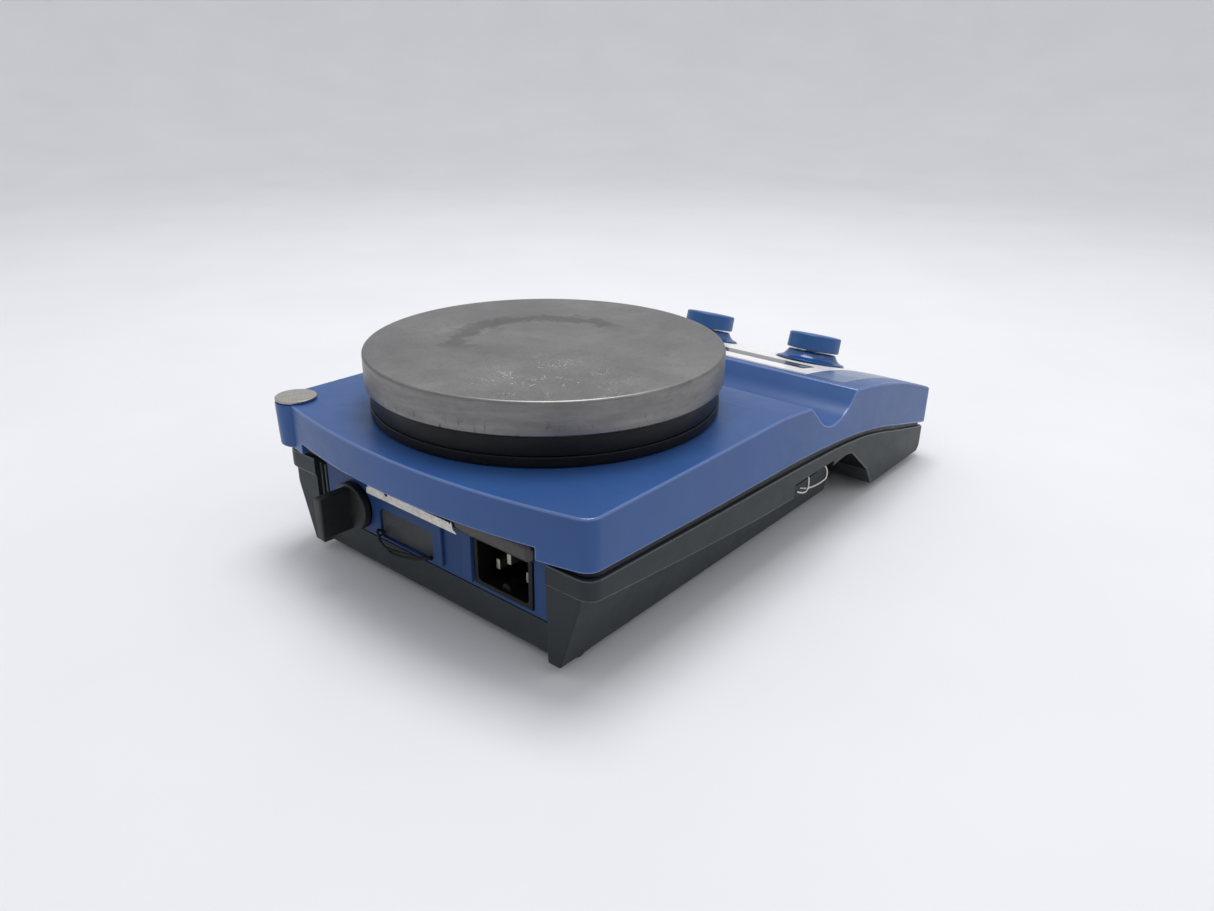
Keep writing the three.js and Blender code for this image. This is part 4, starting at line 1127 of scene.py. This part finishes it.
class MainsInlet(bpy.types.Operator):
    """Model the inlet's shroud, its nose cavity and key, and the three pins"""

    bl_idname = "stirrer.mains_inlet"
    bl_label = "Mains inlet"

    def execute(self, context):
        low, high = extent("mains_inlet")
        shroud, depth = 1.8, 16
        body = along("inlet_body", rounded_rectangle((low.x, low.z), (high.x, high.z), 1), low.y, high.y)
        cavity = along("cavity", rounded_rectangle(
            (low.x + shroud, low.z + shroud), (high.x - shroud, high.z - shroud), 1.6), high.y - depth, high.y + 2)
        cut(body, cavity)
        x = (low.x + high.x) / 2
        key = along("key", [
            (x - 2, low.z + 1), (x + 2, low.z + 1), *arc((x, low.z + 2), 2, 0, 180, 8)], high.y - 15, high.y - 1.5)
        join(body, key)
        pins = [extent(name) for name in ("live_pin", "neutral_pin", "earth_pin")]
        grow = Vector((CLEAR, 0, CLEAR))
        cut(body, *[block("pin_hole", a - grow - Vector((0, CLEAR, 0)), b + grow) for a, b in pins])
        rounded(body, 0.3 * MM, 2, 40)
        # The inlet takes the darkened nylon, painted shade for its mouth.
        finished(body, "housing", "inlet", "black_plastic", "mains_inlet")
        for name, (a, b) in zip(("live_pin", "neutral_pin", "earth_pin"), pins):
            pin = block(name + "_blade", a, b)
            rounded(pin, 0.45 * MM, 2)
            finished(pin, "housing", "brass", "brass", name)
        return {"FINISHED"}


class ContactPlug(bpy.types.Operator):
    """Model the sensor socket and the plug with its flat grip"""

    bl_idname = "stirrer.contact_plug"
    bl_label = "Contact plug"

    def execute(self, context):
        x, z = SOCKET
        socket = turned("socket_ring", [
            (7.3, -12.2), (9, -12.2), *arc((8.7, -0.8), 0.3, 0, 90, 2), *arc((7.6, -0.8), 0.3, 90, 180, 2),
            (7.3, -12.2)], (x, PANEL_Y, z), 64, False)
        base = block("socket_floor", (x - 8, 106, z - 8), (x + 8, 107.9, z + 8))
        meet(base, turned("round", [(0, -20), (8, -20), (8, 10), (0, 10)], (x, PANEL_Y, z), 64, False))
        join(socket, base)
        finished(socket, "housing", "nylon", "black_plastic", "sensor_socket")
        low, high = extent("contact_plug")
        flange = PANEL_Y + 0.6
        plug = turned("plug_body", [
            (0, low.y - PANEL_Y), (7, low.y - PANEL_Y), (7, 0.6), (8.9, 0.6), *arc((9.1, 0.9), 0.3, -60, 0, 2),
            *arc((8.4, 2.6), 1, 0, 60, 4), (6, 4.3), (0, 5.2)], (x, PANEL_Y, z), 64, False)
        grip = block("grip", (x - 2, flange + 1, z - 8.3), (x + 2, high.y, z + 8.3))
        rounded(grip, 0.8 * MM, 3)
        join(plug, grip)
        finished(plug, "plug", "nylon", "black_plastic", "contact_plug")
        return {"FINISHED"}


class SmallParts(bpy.types.Operator):
    """Model the wire clip, the power switch and the rubber feet"""

    bl_idname = "stirrer.small_parts"
    bl_label = "Clip, switch and feet"

    def execute(self, context):
        x = -HALF + 0.8
        hooks = [
            wire("spring_clip", [
                (x + 0.6, -5, 25), (x, -8.6, 23.5), (x, -12.2, 22.9), (x + 0.4, -14.4, 24.4), (x + 1, -15, 27.6),
                (x + 2.6, -15.2, 28.8), (x + 4.6, -15.2, 28.8)], 0.4),
            wire("spring_clip_long_hook", [
                (x + 3, -12.6, 23.2), (x + 0.8, -15.2, 23), (x, -21.6, 22.7), (x, -27.6, 22.7), (x, -29.2, 23.3),
                (x + 0.2, -29.9, 24.8), (x + 0.6, -30.1, 26.6), (x + 2, -29.8, 28.2), (x + 4.6, -29.6, 28.8)], 0.4),
        ]
        clip = join(*hooks)
        finished(clip, "housing", "spring", "plate_steel", "side_wire_clip", angle=60)
        low, high = extent("switch_frame")
        bezel = block("switch_bezel", low, high)
        rounded(bezel, 0.6 * MM, 3)
        well_low, well_high = (low.x + 1.4, low.y - 2, low.z + 0.7), (high.x - 1.4, high.y - 2, high.z - 0.7)
        cut(bezel, block("switch_well", well_low, well_high))
        finished(bezel, "housing", "nylon", "black_plastic", "switch_frame")
        tilt = Matrix.Translation(Vector((0, FRONT + 4.8, 26.2)) * MM) @ Matrix.Rotation(math.radians(-6), 4, "X")
        cap = across("rocker_cap", [
            (-4.2, 4.4), *reversed(arc((-15.9, 0), 12.5, -20, 20, 6)), (-4.2, -4.4), (0, -4.2), (3.6, -2.4), (3.6, 2.4),
            (0, 4.2)], low.x + 1.8, high.x - 1.8)
        rounded(cap, 0.3 * MM, 2)
        placed(cap, tilt)
        finished(cap, "rocker", "switch", "switch_plastic", "power_rocker")
        first = turned("foot", [
            (0, 0), (4, 0), *arc((4, 0.7), 0.7, -90, 0, 3), (5.2, 2.2), (5.2, 3.3), (0, 3.3)], (0, 0, 0), 48)
        for name in ("rear_left_foot", "rear_right_foot", "front_left_foot", "front_right_foot"):
            low, high = extent(name)
            middle = (low + high) / 2 * MM
            inboard = -math.copysign(2 * MM, middle.x)
            foot = placed(copied(first, name + "_pad"), Matrix.Translation((middle.x + inboard, middle.y, low.z * MM)))
            finished(foot, "housing", "rubber", "black_rubber", name, angle=50)
        bpy.data.objects.remove(first, do_unlink=True)
        return {"FINISHED"}


INNER_FINISHES = {
    "zinc": ["plate_spacer_1", "plate_spacer_2", "plate_spacer_3", "temperature_sensor", "motor_bracket",
             "drive_shaft", "magnet_carrier", "speed_knob_shaft", "heat_knob_shaft", "housing_screw_1",
             "housing_screw_2", "housing_screw_3", "housing_screw_4"],
    "aluminium": ["heat_shield", "drive_motor", "heat_sink"],
    "heater": ["heater_element"],
    "magnet": ["north_magnet", "south_magnet"],
    "brass": ["rod_bush"],
    "nylon": ["speed_potentiometer", "heat_potentiometer"],
    "board": ["control_board", "power_board"],
    "core": ["mains_transformer"],
}


class InnerParts(bpy.types.Operator):
    """Give the inner CAD pieces their real finishes"""

    bl_idname = "stirrer.inner_parts"
    bl_label = "Inner parts"

    def execute(self, context):
        for finish, nodes in INNER_FINISHES.items():
            for name in nodes:
                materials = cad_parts[name].data.materials
                materials.clear()
                materials.append(finish_named(finish))
        return {"FINISHED"}


# ---------------------------------------------------------------- floor, light and camera


def pale_floor():
    """Matt white paper sweep: the faintest mottle and no shine."""
    material, add = new_material("matt_paper_white")
    place = add("TexCoord", {}, "Object")
    mottle = add("TexNoise", {"Vector": place, "Scale": per(120), "Detail": 4})
    base = add("Mix", {FACTOR: mottle, COLOUR_A: tinted(linear("#DFE0E3")), COLOUR_B: tinted(linear("#EAEAEC"))},
               **COLOUR_MIX)
    fibres = add("TexNoise", {"Vector": place, "Scale": per(6), "Detail": 3})
    bump = add("Bump", {"Height": fibres, "Strength": 0.1, "Distance": 0.2 * MM})
    add("OutputMaterial", {"Surface": add("BsdfPrincipled", {
        "Base Color": base, "Roughness": 0.65, "IOR": 1.45, "Specular IOR Level": 0.2, "Normal": bump})})
    return material


# The floor is flat this far, then turns up; the camera's place, its yaw, pitch and roll, and its lens.
FLOOR_REACH, FLOOR_TURN = 1200, 1100
CAMERA_PLACE = (-230.34, 297.5, 181.4)
CAMERA_TURN = (-50.40, 23.27, 0.82)
CAMERA_LENS, CAMERA_SENSOR = 27.07, 36


class Stage(bpy.types.Operator):
    """Lay the pale sweep, hang the soft lights and set the camera"""

    bl_idname = "stirrer.stage"
    bl_label = "Stage"

    def execute(self, context):
        # A floor that turns up into a low round wall, well behind every viewpoint.
        wall = arc((FLOOR_REACH, FLOOR_TURN), FLOOR_TURN, -90, 0, 24)
        sweep = turned("floor", [(0, 0), *wall], (0, 0, 0), 96)
        sweep.data.materials.append(pale_floor())
        bpy.ops.object.shade_smooth()

        world = bpy.data.worlds.new("studio_air")
        world.use_nodes = True
        background = world.node_tree.nodes["Background"]
        background.inputs["Color"].default_value = tinted(linear("#EEF0F3"))
        background.inputs["Strength"].default_value = 0.77
        context.scene.world = world

        self.soft_light("ceiling_panel", (0.1, -0.2, 1.2), 0.55, 8)
        self.soft_light("side_panel", (-1.0, -0.2, 0.9), 0.8, 1.2)

        camera = bpy.data.objects.new("camera", bpy.data.cameras.new("camera"))
        context.collection.objects.link(camera)
        camera.data.sensor_width = CAMERA_SENSOR
        camera.data.lens = CAMERA_LENS
        camera.data.clip_start = 0.01
        camera.matrix_world = self.camera_matrix()
        context.scene.camera = camera
        context.scene.view_settings.view_transform = "Standard"
        return {"FINISHED"}

    def soft_light(self, name, place, size, power):
        """A square soft box that faces the stirrer."""
        light = bpy.data.lights.new(name, "AREA")
        light.size = size
        light.energy = power
        lamp = bpy.data.objects.new(name, light)
        lamp.location = place
        lamp.rotation_euler = (-Vector(place)).to_track_quat("-Z", "Y").to_euler()
        bpy.context.collection.objects.link(lamp)

    def camera_matrix(self):
        """The camera's place and its yaw, pitch and roll."""
        yaw, pitch, roll = (math.radians(a) for a in CAMERA_TURN)
        ahead = Vector((math.cos(yaw) * math.cos(pitch), math.sin(yaw) * math.cos(pitch), -math.sin(pitch)))
        level = ahead.cross(Vector((0, 0, 1))).normalized()
        up = level.cross(ahead)
        right = level * math.cos(roll) + up * math.sin(roll)
        top = up * math.cos(roll) - level * math.sin(roll)
        matrix = Matrix((right, top, -ahead)).transposed().to_4x4()
        matrix.translation = Vector(CAMERA_PLACE) * MM
        return matrix


# ---------------------------------------------------------------- add-on

STEPS = (UpperCasting, LowerCasting, HotPlate, Knobs, Console, RodBoss, RearPanel, MainsInlet, ContactPlug,
         SmallParts, InnerParts, Stage)


class StirrerPanel(bpy.types.Panel):
    """Lists the stirrer's pieces in the sidebar"""

    bl_idname = "VIEW3D_PT_stirrer"
    bl_label = "Hot-plate stirrer"
    bl_space_type = "VIEW_3D"
    bl_region_type = "UI"
    bl_category = "Stirrer"

    def draw(self, context):
        for group in (context.scene.stirrer_sizes, context.scene.stirrer_colours):
            for name in group.__annotations__:
                self.layout.prop(group, name)
        for step in STEPS:
            self.layout.operator(step.bl_idname)


CLASSES = (StirrerSizes, StirrerColours, *STEPS, StirrerPanel)


def register():
    for entry in CLASSES:
        bpy.utils.register_class(entry)
    bpy.types.Scene.stirrer_sizes = bpy.props.PointerProperty(type=StirrerSizes)
    bpy.types.Scene.stirrer_colours = bpy.props.PointerProperty(type=StirrerColours)


def unregister():
    del bpy.types.Scene.stirrer_colours
    del bpy.types.Scene.stirrer_sizes
    for entry in reversed(CLASSES):
        bpy.utils.unregister_class(entry)


def main():
    register()
    for step in STEPS:
        group, name = step.bl_idname.split(".")
        getattr(getattr(bpy.ops, group), name)()


if __name__ == "__main__":
    main()
